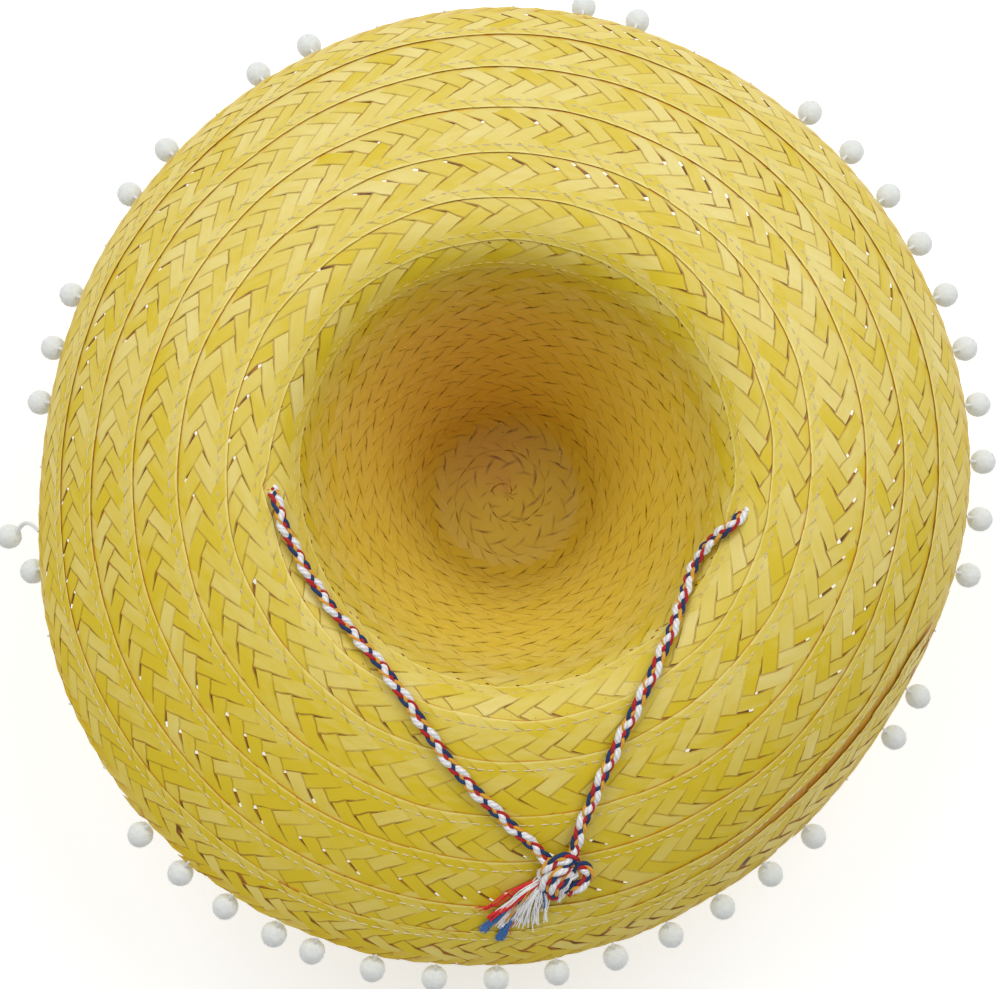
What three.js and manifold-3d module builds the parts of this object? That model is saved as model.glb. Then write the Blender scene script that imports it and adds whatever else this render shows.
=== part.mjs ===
// A straw sombrero lying upside down: it stands on the flat top of its crown, with its brim uppermost.
// Millimetres, +Z up, origin at the centre of the crown's flat top.
// Bearings are degrees anticlockwise from +X. Lifts are measured from the middle of the straw, towards the
// side that a head goes in.

import * as THREE from 'three';
import { mergeVertices } from 'three/addons/utils/BufferGeometryUtils.js';
import Module from 'manifold-3d';

const radians = THREE.MathUtils.degToRad;

// Driving dimensions of the straw
const CROWN_HEIGHT = 225;             // flat top to the crest of the brim
const CROWN_TOP_RADIUS = 42;          // the flat part that it stands on
const SHOULDER_RADIUS = 18;           // bend from the flat top into the wall
const WALL_HEADING = radians(72.6);   // the crown wall's rise from level
const FLARE_RADIUS = 30;              // bend from the wall into the brim
const BRIM_SLANT = 145;               // crest to rim, measured along the straw
const STRAW = 2;                      // thickness of the sewn plait
const LAP = 0.9;                      // step where one row of plait lies on the next
const CROWN_ROWS = 9;
const BRIM_ROWS = 7;
const FLARE_ROW_PARTS = 3;            // facets across a row of plait in the flare
const SIDES = 36;                     // facets round the crown and the brim
const SEAT_GAP = 0.3;                 // clearance between pieces that touch
const SHOULDER_STEPS = 3;             // facets across the bend of the shoulder
const MERGE_DISTANCE = 1e-4;          // corners nearer than this are one corner

// How far the brim has curled down from level by the rim, in degrees, at even bearings from +X round again
const RIM_CURL = [50, 48, 45, 39, 42, 45, 45, 28, 24, 36, 52, 59];

// The plait's outer end: over these bearings the last row's inner edge stands up off the row under it
const PLAIT_END = { from: 266, to: 341, lift: 1.4 };

// Pompoms sewn round the rim, in runs of even spacing. hang is the stem's slope below level, past 90 turned
// under the brim, and stem is the length of thread that shows.
const POMPOM_RADIUS = 7;
const POMPOM_SIDES = 8;
const POMPOM_RINGS = 3;
const LOCK_DEPTH = 0.09;              // how far the locks of yarn stand out and in, as a share of the radius
const STEM_RADIUS = 0.9;
const POMPOM_RUNS = [
  { from: -12.1, to: 50.5, count: 10, hang: 40, stem: 5 },
  { from: 58.4, to: 66.4, count: 2, hang: 125, stem: 5 },
  { from: 74.3, to: 81, count: 2, hang: 52, stem: 5 },
  { from: 89.5, to: 106.4, count: 3, hang: 125, stem: 5 },
  { from: 114.9, to: 121.9, count: 2, hang: 50, stem: 5 },
  { from: 129, to: 129, count: 1, hang: 125, stem: 5 },
  { from: 136.3, to: 143.3, count: 2, hang: 50, stem: 5 },
  { from: 150.3, to: 150.3, count: 1, hang: 125, stem: 5 },
  { from: 157.4, to: 171, count: 3, hang: 50, stem: 5 },
  { from: 179, to: 179, count: 1, hang: 125, stem: 5 },
  { from: 186.9, to: 186.9, count: 1, hang: 30, stem: 16 },
  { from: 191.4, to: 191.4, count: 1, hang: 58, stem: 5 },
  { from: 199.5, to: 216.2, count: 3, hang: 125, stem: 5 },
  { from: 224.5, to: 243, count: 4, hang: 42, stem: 5 },
  { from: 247.6, to: 310.2, count: 10, hang: 40, stem: 5 },
  { from: 318, to: 318, count: 1, hang: 125, stem: 5 },
  { from: 325.9, to: 331.8, count: 2, hang: 38, stem: 5 },
  { from: 340, to: 340, count: 1, hang: 125, stem: 5 },
];

// The braided chin cord: a loop through two gaps in the plait at the mouth of the crown, knotted at its ends.
// along is the distance from the top of the crown's wall, out over the flare and the brim.
const CORD_RADIUS = 3.25;
const CORD_SIDES = 8;
const CORD_STEP = 1.75 * 2 * CORD_RADIUS;
const PASSAGE_ROWS = 4;               // rows of a cord's route that lie in its gap in the plait
const PASSAGE_GAP = 1.6;              // how loosely the cord sits in it
const LEFT_CORD = [
  { along: 24, bearing: 185.95, lift: 0.25 }, { along: 24, bearing: 186.8, lift: 2 },
  { along: 24, bearing: 188.5, lift: 4.3 }, { along: 23.6, bearing: 191, lift: 5.5 },
  { along: 23, bearing: 194.5, lift: 5.5 }, { along: 20.5, bearing: 204, lift: 5.5 },
  { along: 19.5, bearing: 213.5, lift: 5.5 }, { along: 19.5, bearing: 222, lift: 5.5 },
  { along: 20.5, bearing: 229.5, lift: 5.5 }, { along: 24, bearing: 236.8, lift: 5.5 },
  { along: 30.5, bearing: 244, lift: 5.5 }, { along: 39.5, bearing: 250.5, lift: 5.5 },
  { along: 54, bearing: 257.2, lift: 5.5 }, { along: 67.5, bearing: 262.8, lift: 5.5 },
  { along: 85.5, bearing: 269.2, lift: 5.5 }, { along: 101, bearing: 273.7, lift: 6.2 },
  { along: 111.7, bearing: 276.1, lift: 7.4 },
];
const RIGHT_CORD = [
  { along: 22.95, bearing: 348.85, lift: 0.25 }, { along: 22.6, bearing: 348, lift: 2 },
  { along: 21.6, bearing: 346.4, lift: 4.3 }, { along: 19, bearing: 344.2, lift: 5.5 },
  { along: 14, bearing: 341.3, lift: 5.5 }, { along: 8.6, bearing: 336.5, lift: 5.5 },
  { along: 8.4, bearing: 330.5, lift: 5.5 }, { along: 11.4, bearing: 325, lift: 5.5 },
  { along: 16, bearing: 320, lift: 5.5 }, { along: 24, bearing: 311, lift: 5.5 },
  { along: 33, bearing: 303, lift: 5.5 }, { along: 45.5, bearing: 295.2, lift: 5.5 },
  { along: 61.5, bearing: 288.8, lift: 5.5 }, { along: 82.5, bearing: 283.2, lift: 5.5 },
  { along: 98, bearing: 280.4, lift: 6.2 }, { along: 111.2, bearing: 278.8, lift: 7.4 },
];
const HIDDEN_CORD = [
  { along: 24, bearing: 185.65, lift: -0.25 }, { along: 24, bearing: 184.8, lift: -2 },
  { along: 24, bearing: 183.1, lift: -4.6 }, { along: 22.6, bearing: 179.6, lift: -6 },
  { along: 20, bearing: 172, lift: -6 }, { along: 18, bearing: 160, lift: -6 },
  { along: 17, bearing: 145, lift: -6 }, { along: 17, bearing: 125, lift: -6 },
  { along: 17, bearing: 105, lift: -6 }, { along: 17, bearing: 85, lift: -6 },
  { along: 17, bearing: 65, lift: -6 }, { along: 17, bearing: 45, lift: -6 },
  { along: 17, bearing: 25, lift: -6 }, { along: 18, bearing: 8, lift: -6 },
  { along: 20, bearing: -3, lift: -6 }, { along: 23, bearing: -8.1, lift: -4.8 },
  { along: 23, bearing: -10, lift: -2 }, { along: 23.05, bearing: -10.85, lift: -0.25 },
];

const KNOT = { along: 121, bearing: 278, lift: 7.2, radius: 6, tube: 2.9, swing: 138 };
const KNOT_STEPS = 30;
const KNOT_SIDES = 6;
const TASSEL_HEAD = { along: 129.2, bearing: 275.1, lift: 5.6, radius: 3.6 };
const TASSEL_HEAD_SIDES = 8;
const TASSEL_HEAD_RINGS = 5;
// Where each lock of frayed yarn ends on the brim, and its radius at the head and at its tip
const TASSEL_LOCKS = [
  { along: 142.5, bearing: 266.8, root: 2.2, tip: 2.4 },
  { along: 152, bearing: 266.6, root: 2.2, tip: 1.9 },
  { along: 158, bearing: 268.6, root: 2.2, tip: 1.9 },
  { along: 153, bearing: 271, root: 2.6, tip: 2.8 },
  { along: 149, bearing: 273.4, root: 2.6, tip: 2.6 },
];
const LOCK_SIDES = 5;

// Sizes that follow from the driving dimensions
const HALF_STRAW = STRAW / 2;
const BENDS_RISE = (SHOULDER_RADIUS + FLARE_RADIUS) * (1 - Math.cos(WALL_HEADING));
const WALL_RISE = CROWN_HEIGHT - HALF_STRAW - BENDS_RISE;
const WALL_LENGTH = WALL_RISE / Math.sin(WALL_HEADING);
const WALL_FOOT_RADIUS = CROWN_TOP_RADIUS + SHOULDER_RADIUS * Math.sin(WALL_HEADING);
const WALL_TOP_RADIUS = WALL_FOOT_RADIUS + WALL_RISE / Math.tan(WALL_HEADING);
const CREST_RADIUS = WALL_TOP_RADIUS + FLARE_RADIUS * Math.sin(WALL_HEADING);
const FLARE_LENGTH = FLARE_RADIUS * WALL_HEADING;
const BRIM_LENGTH = FLARE_LENGTH + BRIM_SLANT;

const wasm = await Module();
wasm.setup();

// A closed geometry as a solid that can be joined and cut
function solidOf(geometry) {
  const bare = geometry.clone();
  bare.deleteAttribute('normal');
  bare.deleteAttribute('uv');
  const merged = mergeVertices(bare, MERGE_DISTANCE);
  return new wasm.Manifold(new wasm.Mesh({
    numProp: 3,
    vertProperties: new Float32Array(merged.attributes.position.array),
    triVerts: new Uint32Array(merged.index.array),
  }));
}

function geometryOf(solid) {
  const mesh = solid.getMesh();
  const geometry = new THREE.BufferGeometry();
  geometry.setAttribute('position', new THREE.BufferAttribute(new Float32Array(mesh.vertProperties), 3));
  geometry.setIndex(new THREE.BufferAttribute(new Uint32Array(mesh.triVerts), 1));
  return geometry;
}

// The curl of the brim at any bearing, smoothly between the rows of its table
function rimTurn(bearing) {
  const count = RIM_CURL.length;
  const place = THREE.MathUtils.euclideanModulo(bearing, 360) * count / 360;
  const row = Math.floor(place);
  const t = place - row;
  const [a, b, c, d] = [-1, 0, 1, 2].map((k) => RIM_CURL[(row + k + count) % count]);
  return radians(b + 0.5 * t * (c - a + t * (2 * a - 5 * b + 4 * c - d + t * (3 * (b - c) + d - a))));
}

// Radius, height and heading of the middle of the crown's wall, from its foot at the shoulder
function crownWall(along) {
  return {
    radius: WALL_FOOT_RADIUS + along * Math.cos(WALL_HEADING),
    height: HALF_STRAW + SHOULDER_RADIUS * (1 - Math.cos(WALL_HEADING)) + along * Math.sin(WALL_HEADING),
    heading: WALL_HEADING,
  };
}

// Radius, height and heading of the middle of the flare and the brim, from the top of the crown's wall
function brimWall(along, bearing) {
  const past = along - FLARE_LENGTH;
  const bend = past < 0 ? FLARE_RADIUS : BRIM_SLANT / rimTurn(bearing);
  const heading = -past / bend;
  return {
    radius: CREST_RADIUS - bend * Math.sin(heading),
    height: CROWN_HEIGHT - bend * (1 - Math.cos(heading)),
    heading,
  };
}

// A point of a wall's section, moved off its middle towards the head's side
function lifted(wall, lift) {
  return new THREE.Vector2(
    wall.radius - lift * Math.sin(wall.heading),
    wall.height + lift * Math.cos(wall.heading),
  );
}

function turned(point, bearing) {
  const a = radians(bearing);
  return new THREE.Vector3(point.x * Math.cos(a), point.x * Math.sin(a), point.y);
}

function onBrim({ along, bearing, lift }) {
  return turned(lifted(brimWall(along, bearing), lift), bearing);
}

// Directions at a place on the brim: out along the straw, anticlockwise round it, and off its face
function brimAxes({ along, bearing }) {
  const { heading } = brimWall(along, bearing);
  const a = radians(bearing);
  const out = turned(new THREE.Vector2(Math.cos(heading), Math.sin(heading)), bearing);
  const round = new THREE.Vector3(-Math.sin(a), Math.cos(a), 0);
  return { out, round, face: new THREE.Vector3().crossVectors(out, round) };
}

// Crown: flat top, shoulder and a wall of lapped rows, turned about the axis and open at the mouth
function crownGeometry() {
  const face = (side) => {
    const points = [new THREE.Vector2(0, HALF_STRAW + side * HALF_STRAW)];
    for (let i = 0; i < SHOULDER_STEPS; i += 1) {
      const heading = WALL_HEADING * i / SHOULDER_STEPS;
      const middle = {
        radius: CROWN_TOP_RADIUS + SHOULDER_RADIUS * Math.sin(heading),
        height: HALF_STRAW + SHOULDER_RADIUS * (1 - Math.cos(heading)),
        heading,
      };
      points.push(lifted(middle, side * HALF_STRAW));
    }
    const pitch = (WALL_LENGTH - SEAT_GAP) / CROWN_ROWS;
    for (let row = 0; row < CROWN_ROWS; row += 1) {
      const start = row === 0 ? 0 : LAP / 2;
      points.push(lifted(crownWall(row * pitch), side * HALF_STRAW + start));
      points.push(lifted(crownWall((row + 1) * pitch), side * HALF_STRAW - LAP / 2));
    }
    return points;
  };
  const section = [...face(-1), ...face(1).reverse()];
  return new THREE.LatheGeometry(section, SIDES).rotateX(Math.PI / 2);
}

// How far the inner edge of the last row stands up where the plait ends
function plaitEndLift(bearing) {
  const past = THREE.MathUtils.euclideanModulo(bearing, 360) - PLAIT_END.from;
  const share = past / (PLAIT_END.to - PLAIT_END.from);
  return share > 0 && share < 1 ? PLAIT_END.lift * Math.sin(Math.PI * share) : 0;
}

// Stations round the brim's section: out over the head's side, then back under. Rows in the tight flare are
// divided, so that their facets follow its bend.
function brimStations() {
  const pitch = BRIM_LENGTH / BRIM_ROWS;
  const over = [];
  const under = [];
  for (let row = 0; row < BRIM_ROWS; row += 1) {
    const last = row === BRIM_ROWS - 1;
    const parts = row * pitch < FLARE_LENGTH ? FLARE_ROW_PARTS : 1;
    for (let part = 0; part <= parts; part += 1) {
      const share = part / parts;
      const station = { along: (row + share) * pitch, step: LAP * (0.5 - share) };
      over.push({ ...station, side: 1, standsUp: last && part === 0 });
      under.push({ ...station, side: -1, standsUp: false });
    }
  }
  return [...over, ...under.reverse()];
}

function brimGeometry() {
  const stations = brimStations();
  const count = stations.length;
  const positions = [];
  const index = [];
  for (let i = 0; i < SIDES; i += 1) {
    const bearing = 360 * i / SIDES;
    for (const { along, step, side, standsUp } of stations) {
      const lift = side * HALF_STRAW + step + (standsUp ? plaitEndLift(bearing) : 0);
      positions.push(...onBrim({ along, bearing, lift }).toArray());
    }
    const next = (i + 1) % SIDES;
    for (let j = 0; j < count; j += 1) {
      const [a, b] = [i * count + j, i * count + (j + 1) % count];
      const [c, d] = [next * count + (j + 1) % count, next * count + j];
      index.push(a, b, c, a, c, d);
    }
  }
  const geometry = new THREE.BufferGeometry();
  geometry.setAttribute('position', new THREE.Float32BufferAttribute(positions, 3));
  geometry.setIndex(index);
  return geometry;
}

// A round cord of even thickness along a route over the brim
function tubeGeometry(points, radius) {
  const route = new THREE.CatmullRomCurve3(points, false, 'centripetal');
  const section = new THREE.Shape();
  for (let i = 0; i < CORD_SIDES; i += 1) {
    const a = 2 * Math.PI * i / CORD_SIDES;
    const move = i === 0 ? 'moveTo' : 'lineTo';
    section[move](radius * Math.cos(a), radius * Math.sin(a));
  }
  const steps = Math.round(route.getLength() / CORD_STEP);
  return new THREE.ExtrudeGeometry(section, { steps, extrudePath: route });
}

// The brim with the two gaps in its plait that the cord goes through
function piercedBrimGeometry() {
  const passages = [
    [...HIDDEN_CORD.slice(0, PASSAGE_ROWS).reverse(), ...LEFT_CORD.slice(0, PASSAGE_ROWS)],
    [...HIDDEN_CORD.slice(-PASSAGE_ROWS), ...RIGHT_CORD.slice(0, PASSAGE_ROWS)],
  ];
  let solid = solidOf(brimGeometry());
  for (const rows of passages) {
    solid = solid.subtract(solidOf(tubeGeometry(rows.map(onBrim), CORD_RADIUS + PASSAGE_GAP)));
  }
  return geometryOf(solid);
}

// A pompom on its thread: a ball of short locks with the stem fused to its top, the stem's end at the origin
function pompomGeometry(stem) {
  const centre = -(stem + POMPOM_RADIUS);
  const section = [new THREE.Vector2(0, centre - POMPOM_RADIUS)];
  for (let ring = 1; ring <= POMPOM_RINGS; ring += 1) {
    const a = Math.PI * ring / (POMPOM_RINGS + 1);
    section.push(new THREE.Vector2(POMPOM_RADIUS * Math.sin(a), centre - POMPOM_RADIUS * Math.cos(a)));
  }
  section.push(new THREE.Vector2(STEM_RADIUS, -stem));
  section.push(new THREE.Vector2(STEM_RADIUS, 0));
  section.push(new THREE.Vector2(0, 0));
  const geometry = new THREE.LatheGeometry(section, POMPOM_SIDES);
  const position = geometry.attributes.position;
  for (let i = 0; i < position.count; i += 1) {
    const ring = i % section.length;
    const side = Math.floor(i / section.length);
    if (ring > 0 && ring <= POMPOM_RINGS) {
      const lock = 1 + ((ring + side) % 2 === 0 ? LOCK_DEPTH : -LOCK_DEPTH);
      position.setXYZ(
        i,
        position.getX(i) * lock,
        centre + (position.getY(i) - centre) * lock,
        position.getZ(i) * lock,
      );
    }
  }
  return geometry;
}

// How far past the rim's edge a stem starts, so that its end clears the straw at any slope to it
function stemStart(slope) {
  const [s, c] = [Math.abs(Math.sin(slope)), Math.cos(slope)];
  const underneath = (HALF_STRAW + SEAT_GAP + STEM_RADIUS * Math.abs(c)) / s;
  return c > 0 ? Math.min((SEAT_GAP + STEM_RADIUS * s) / c, underneath) : underneath;
}

// The middle of the rim's edge at a bearing, on the straight facet between two of its corners
function rimEdge(bearing) {
  const step = 360 / SIDES;
  const corner = Math.floor(bearing / step) * step;
  const edge = (b) => turned(lifted(brimWall(BRIM_LENGTH, b), -LAP / 2), b);
  return edge(corner).lerp(edge(corner + step), (bearing - corner) / step);
}

function pompoms(material) {
  const group = new THREE.Group();
  for (const { from, to, count, hang, stem } of POMPOM_RUNS) {
    for (let i = 0; i < count; i += 1) {
      const bearing = count === 1 ? from : from + (to - from) * i / (count - 1);
      const slope = radians(hang) + brimWall(BRIM_LENGTH, bearing).heading;
      const down = turned(new THREE.Vector2(Math.cos(radians(hang)), -Math.sin(radians(hang))), bearing);
      const mesh = new THREE.Mesh(pompomGeometry(stem), material());
      mesh.name = `pompom_${String(group.children.length + 1).padStart(2, '0')}`;
      mesh.position.copy(rimEdge(bearing)).addScaledVector(down, stemStart(slope));
      mesh.quaternion.setFromUnitVectors(new THREE.Vector3(0, -1, 0), down);
      group.add(mesh);
    }
  }
  return group;
}

// The knot: one turn of cord tied on itself, lying flat on the brim
function knotMesh(material) {
  const geometry = new THREE.TorusKnotGeometry(KNOT.radius, KNOT.tube, KNOT_STEPS, KNOT_SIDES);
  const mesh = new THREE.Mesh(geometry, material);
  const { out, round, face } = brimAxes(KNOT);
  mesh.quaternion.setFromRotationMatrix(new THREE.Matrix4().makeBasis(out, round, face));
  mesh.rotateZ(radians(KNOT.swing - KNOT.bearing));
  mesh.position.copy(onBrim(KNOT));
  mesh.name = 'cord_knot';
  return mesh;
}

// The frayed ends: locks of yarn fanned out over the brim from one head
function tasselMesh(material) {
  const head = onBrim(TASSEL_HEAD);
  const ball = new THREE.SphereGeometry(TASSEL_HEAD.radius, TASSEL_HEAD_SIDES, TASSEL_HEAD_RINGS);
  let solid = solidOf(ball.translate(head.x, head.y, head.z));
  for (const { along, bearing, root, tip } of TASSEL_LOCKS) {
    const lift = HALF_STRAW + LAP / 2 + SEAT_GAP + tip;
    const end = onBrim({ along, bearing, lift });
    const run = new THREE.Vector3().subVectors(end, head);
    const lock = new THREE.CylinderGeometry(tip, root, run.length(), LOCK_SIDES);
    lock.translate(0, run.length() / 2, 0);
    const up = new THREE.Vector3(0, 1, 0);
    lock.applyQuaternion(new THREE.Quaternion().setFromUnitVectors(up, run.clone().normalize()));
    solid = solid.add(solidOf(lock.translate(head.x, head.y, head.z)));
  }
  const mesh = new THREE.Mesh(geometryOf(solid), material);
  mesh.name = 'cord_tassel';
  return mesh;
}

const straw = () => new THREE.MeshStandardMaterial({ color: 0xdcc14f, roughness: 0.55, metalness: 0 });
const wool = () => new THREE.MeshStandardMaterial({ color: 0xf1f2f0, roughness: 0.95, metalness: 0 });
const braid = () => new THREE.MeshStandardMaterial({ color: 0x9c8ea6, roughness: 0.8, metalness: 0 });

function named(name, geometry, material) {
  const mesh = new THREE.Mesh(geometry, material);
  mesh.name = name;
  return mesh;
}

const sombrero = new THREE.Group();
sombrero.add(named('crown', crownGeometry(), straw()));
sombrero.add(named('brim', piercedBrimGeometry(), straw()));
sombrero.add(pompoms(wool));
sombrero.add(named('chin_cord_left', tubeGeometry(LEFT_CORD.map(onBrim), CORD_RADIUS), braid()));
sombrero.add(named('chin_cord_right', tubeGeometry(RIGHT_CORD.map(onBrim), CORD_RADIUS), braid()));
sombrero.add(named('cord_round_crown', tubeGeometry(HIDDEN_CORD.map(onBrim), CORD_RADIUS), braid()));
sombrero.add(knotMesh(braid()));
sombrero.add(tasselMesh(braid()));

export default sombrero;
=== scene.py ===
import math

import bpy
import numpy as np
from bpy.props import FloatProperty, FloatVectorProperty, PointerProperty
from mathutils import Matrix, Vector


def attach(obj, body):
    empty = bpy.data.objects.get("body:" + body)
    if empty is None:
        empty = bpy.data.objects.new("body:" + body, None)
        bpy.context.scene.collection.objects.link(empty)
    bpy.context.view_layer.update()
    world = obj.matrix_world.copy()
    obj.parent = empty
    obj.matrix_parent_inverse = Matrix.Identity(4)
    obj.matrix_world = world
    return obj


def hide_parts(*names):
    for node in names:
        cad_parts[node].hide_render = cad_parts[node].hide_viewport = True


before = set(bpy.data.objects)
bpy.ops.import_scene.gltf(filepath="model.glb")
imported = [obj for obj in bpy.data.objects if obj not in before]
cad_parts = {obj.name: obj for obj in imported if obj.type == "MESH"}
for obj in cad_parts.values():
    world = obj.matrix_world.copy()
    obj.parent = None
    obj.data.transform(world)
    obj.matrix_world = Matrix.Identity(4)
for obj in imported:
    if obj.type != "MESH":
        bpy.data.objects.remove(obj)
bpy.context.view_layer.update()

bl_info = {
    "name": "Straw sombrero",
    "version": (1, 0, 0),
    "blender": (4, 5, 0),
    "location": "3D View > Sidebar > Sombrero",
    "description": "Dresses a sombrero's CAD model in sewn straw plait, wool pompoms and a braided cord",
    "category": "Add Mesh",
}

PER_METRE = 1000  # millimetres
NEAREST = 1e-6  # shorter distances and vectors count as this long
# Shares that go with a pair of places: none at the first and all at the second, or the reverse
RISING = (0, 1)
FALLING = (1, 0)

# Form of the straw in metres and radians, as in the CAD model. A slant is the distance out from the middle
# of the crown's top along the straw, a bearing goes anticlockwise from +X, and a lift is off the middle of
# the straw, towards the side that a head goes in.
CROWN_HEIGHT = 0.225
CROWN_TOP_RADIUS = 0.042
SHOULDER_RADIUS = 0.018
WALL_HEADING = math.radians(72.6)
FLARE_RADIUS = 0.030
BRIM_SLANT = 0.145
HALF_STRAW = 0.001
RIM_CURL = np.radians([50, 48, 45, 39, 42, 45, 45, 28, 24, 36, 52, 59])

SHOULDER_END = CROWN_TOP_RADIUS + SHOULDER_RADIUS * WALL_HEADING
BENDS_RISE = (SHOULDER_RADIUS + FLARE_RADIUS) * (1 - math.cos(WALL_HEADING))
WALL_RISE = CROWN_HEIGHT - HALF_STRAW - BENDS_RISE
WALL_LENGTH = WALL_RISE / math.sin(WALL_HEADING)
WALL_END = SHOULDER_END + WALL_LENGTH
CREST = WALL_END + FLARE_RADIUS * WALL_HEADING
RIM = CREST + BRIM_SLANT
WALL_TOP_RADIUS = (
    CROWN_TOP_RADIUS
    + SHOULDER_RADIUS * math.sin(WALL_HEADING)
    + WALL_RISE / math.tan(WALL_HEADING)
)
CREST_RADIUS = WALL_TOP_RADIUS + FLARE_RADIUS * math.sin(WALL_HEADING)

# The plait is one long spiral. These rows are its turns, counted back from its outer end, and the slant of
# its inner edge there in millimetres.
END_BEARING = math.radians(341)
EDGE_ROWS = [
    (-19, -3), (-18, 0), (-16.95, 25), (-15.95, 49), (-14.95, 74), (-13.95, 99), (-12.95, 124.8),
    (-11.95, 150.7), (-10.95, 174.8), (-9.95, 195.7), (-8.95, 216), (-7.95, 237.7), (-6.95, 259),
    (-5.95, 279.8), (-5.7, 283.5), (-4.95, 302.3), (-4.7, 308.5), (-3.95, 323.6), (-3.7, 335.4),
    (-2.95, 356.7), (-2.7, 363.5), (-1.95, 382.9), (-1.7, 391.7), (-1.1, 408), (-1.07, 405), (-1.04, 410.5),
    (-0.95, 411.8), (-0.7, 419.8), (-0.45, 425.3), (-0.13, 420.5), (-0.085, 416.8), (-0.05, 420.5),
    (-0.013, 426.5), (0, 437), (0.01, 438),
]
FIRST_TURN = EDGE_ROWS[0][0]
LAST_TURN = EDGE_ROWS[-1][0]
EDGE_TURNS, EDGE_SLANTS = np.array(EDGE_ROWS).T / [[1], [PER_METRE]]
PLAIT_STEPS = 8000  # places along the spiral at which its length is added up
UNDERLAP = 0.0052  # how far a row reaches under the next

# Turns of the spiral at which the plait changes
SPREAD_TURN = -17.6  # strips before it are spread to close the spiral's middle
CLOSED_TURN = -17  # strips before it leave no slits
LOOSE_TURNS = (-6.2, -5.8)  # strips come to be spread apart here and there
GAP_TURN, GAP_HALF_WIDTH = -1.071, 0.056  # the painted shade and staining that the last row's lifted edge leaves open
RIM_TURNS = (-1.06, -1)  # the plait's outer edge comes out to the rim
LAPPED_TURN = -1.02  # rows before it go under another
NOTCHED_TURN = -1  # the rim is notched between strips after it
RAGGED_TURN = -0.32  # strips after it are uneven
LIFT_TURNS = (-0.2, -0.06)  # the last row's inner edge comes to stand up

# Waves of the sewing hand, and of how the plait was pulled: height, radians in a turn, and phase
SEWING_WAVES = [(1, 20.7, 0), (0.8, 48.4, 1), (0.6, 97.1, 2)]
PULLING_WAVES = [(1, 7.9, 1), (0.8, 17.3, 2.5), (0.6, 39.1, 0)]
WAVER = 0.0005
PULL = 0.9

# Strips are wider on the flare, laps lower on the crown, and strips higher round the shoulder and the
# flare, where they bend: slants, and the share of the set size at each
PERIOD_SLANTS = [WALL_END - 0.02, WALL_END + 0.015, WALL_END + 0.062, WALL_END + 0.09]
PERIOD_SHARES = [1, 1.18, 1.18, 1]
LAP_SLANTS = [WALL_END - 0.04, WALL_END - 0.005]
LAP_SHARES = [0.75, 1]
RELIEF_SLANTS = [0.03, 0.045, 0.06, 0.08, WALL_END - 0.01, WALL_END + 0.01, CREST, CREST + 0.02]
RELIEF_SHARES = [1, 2.4, 2.4, 1, 1, 1.3, 1.3, 1]
PLAIT_LIFT = 0.00014

# A strip of straw crosses six others between the plait's edges. It is over the first, under two, over two
# and under the last, and the strips that lean the other way are the reverse. A column is a place along a
# strip, from the plait's inner edge. Where a value depends on the way that strips lean, it has one for each.
STRANDS = 7
STRIP_COLUMNS = np.array([0, 0.45, 1.2, 1.8, 2.5, 3.2, 3.8, 4.5, 5.2, 5.8, 7])
FLOAT_COLUMNS = [0, 0.6, 1.2, 1.8, 3.2, 3.8, 5.2, 5.8, 6.4, 7]
FLOAT_LEVELS = [0, 1, 1, -1, -1, 1, 1, -1, -1, 0]
FLOAT_MIDDLES = {1: 4.5, -1: 2.5}
STRIP_LENGTH = 0.061
STRIPS_IN_A_STRAW = 4
STRAND_STAGGER = 3
SPARE_STRAWS = 8
STRIP_SEED = 11

# A strip's section, point by point round it: the side that it is on, its height in thicknesses of straw, the
# face that it is on, and its place across the strip, which ends with the first point's again
SECTION_SIDES = np.array([0.5, 0, -0.5, -0.5, 0, 0.5])
SECTION_HEIGHTS = np.array([0.45, 0.6, 0.45, -0.6, -0.5, -0.6])
SECTION_FACES = np.array([1, 1, 1, -1, -1, -1])
SECTION_ACROSS = np.array([1, 0.5, 0, 0, 0.5, 1, 1])
STRIP_SPREAD = 0.999
CLOSING_SPREAD = 1.3
STRIP_ROLL, ROLL_SPREAD = 0.0001, 0.00002
SKEW_COLUMNS = (0, 0.8)
UNEVEN, RAGGED_UNEVEN = 0.005, 0.03
NOTCH_COLUMNS, NOTCH_DEPTH = (5.4, 7), 0.042

# Slits along a strip's forward edge, and holes where two slits cross and light comes through. A reach is a
# distance in columns from the middle of the slit.
CROWN_INSET = 0.02  # strips whose middle is this far inside the crest are the crown's
CROWN_EDGE, RAGGED_EDGE = 0.4, 0.6  # least mark of an edge
SLIT_POWER = 1.3
SLIT_REACH = (0, 0.7)
CROWN_SLIT, RAGGED_SLIT = 0.7, 2
BRIM_SLITS = {1: 1, -1: 0.7}
HOLE_CROSSINGS = (4, 5)
HOLE_CHANCE = 0.55
HOLE_SIZES = (0.7, 1.3)
HOLE_REACH = (0.12, 0.72)
HOLE_DRAWS = {1: 1, -1: 1.55}
HOLE_SEED = 23
SPARE_STRIPS = 9

# What the straw's finish reads at each point: tints with painted sheen, edge lines of painted shade, painted
# highlights at folds, and painted shade on the crown's shaded side and its top
STRAW_TINT = 0.7  # share of a strip's tint that it has from its straw
MEAN_TINT, TINT_RANGE = 0.66, 0.95
HEM_COLUMNS = (0.6, 1.6)
FOLD_HIGHLIGHT_COLUMNS = (0, 0.5)
CROWN_FOLD_HIGHLIGHT = 0.2
LEAST_LINE = 0.35
STROKE_REACH = (0.09, 0.99)
LIP_STROKE, LIP_STROKE_REACH = 1.2, (0.08, 0.88)
UNDER_COLUMN = 2
NO_LIP = -1
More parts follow.
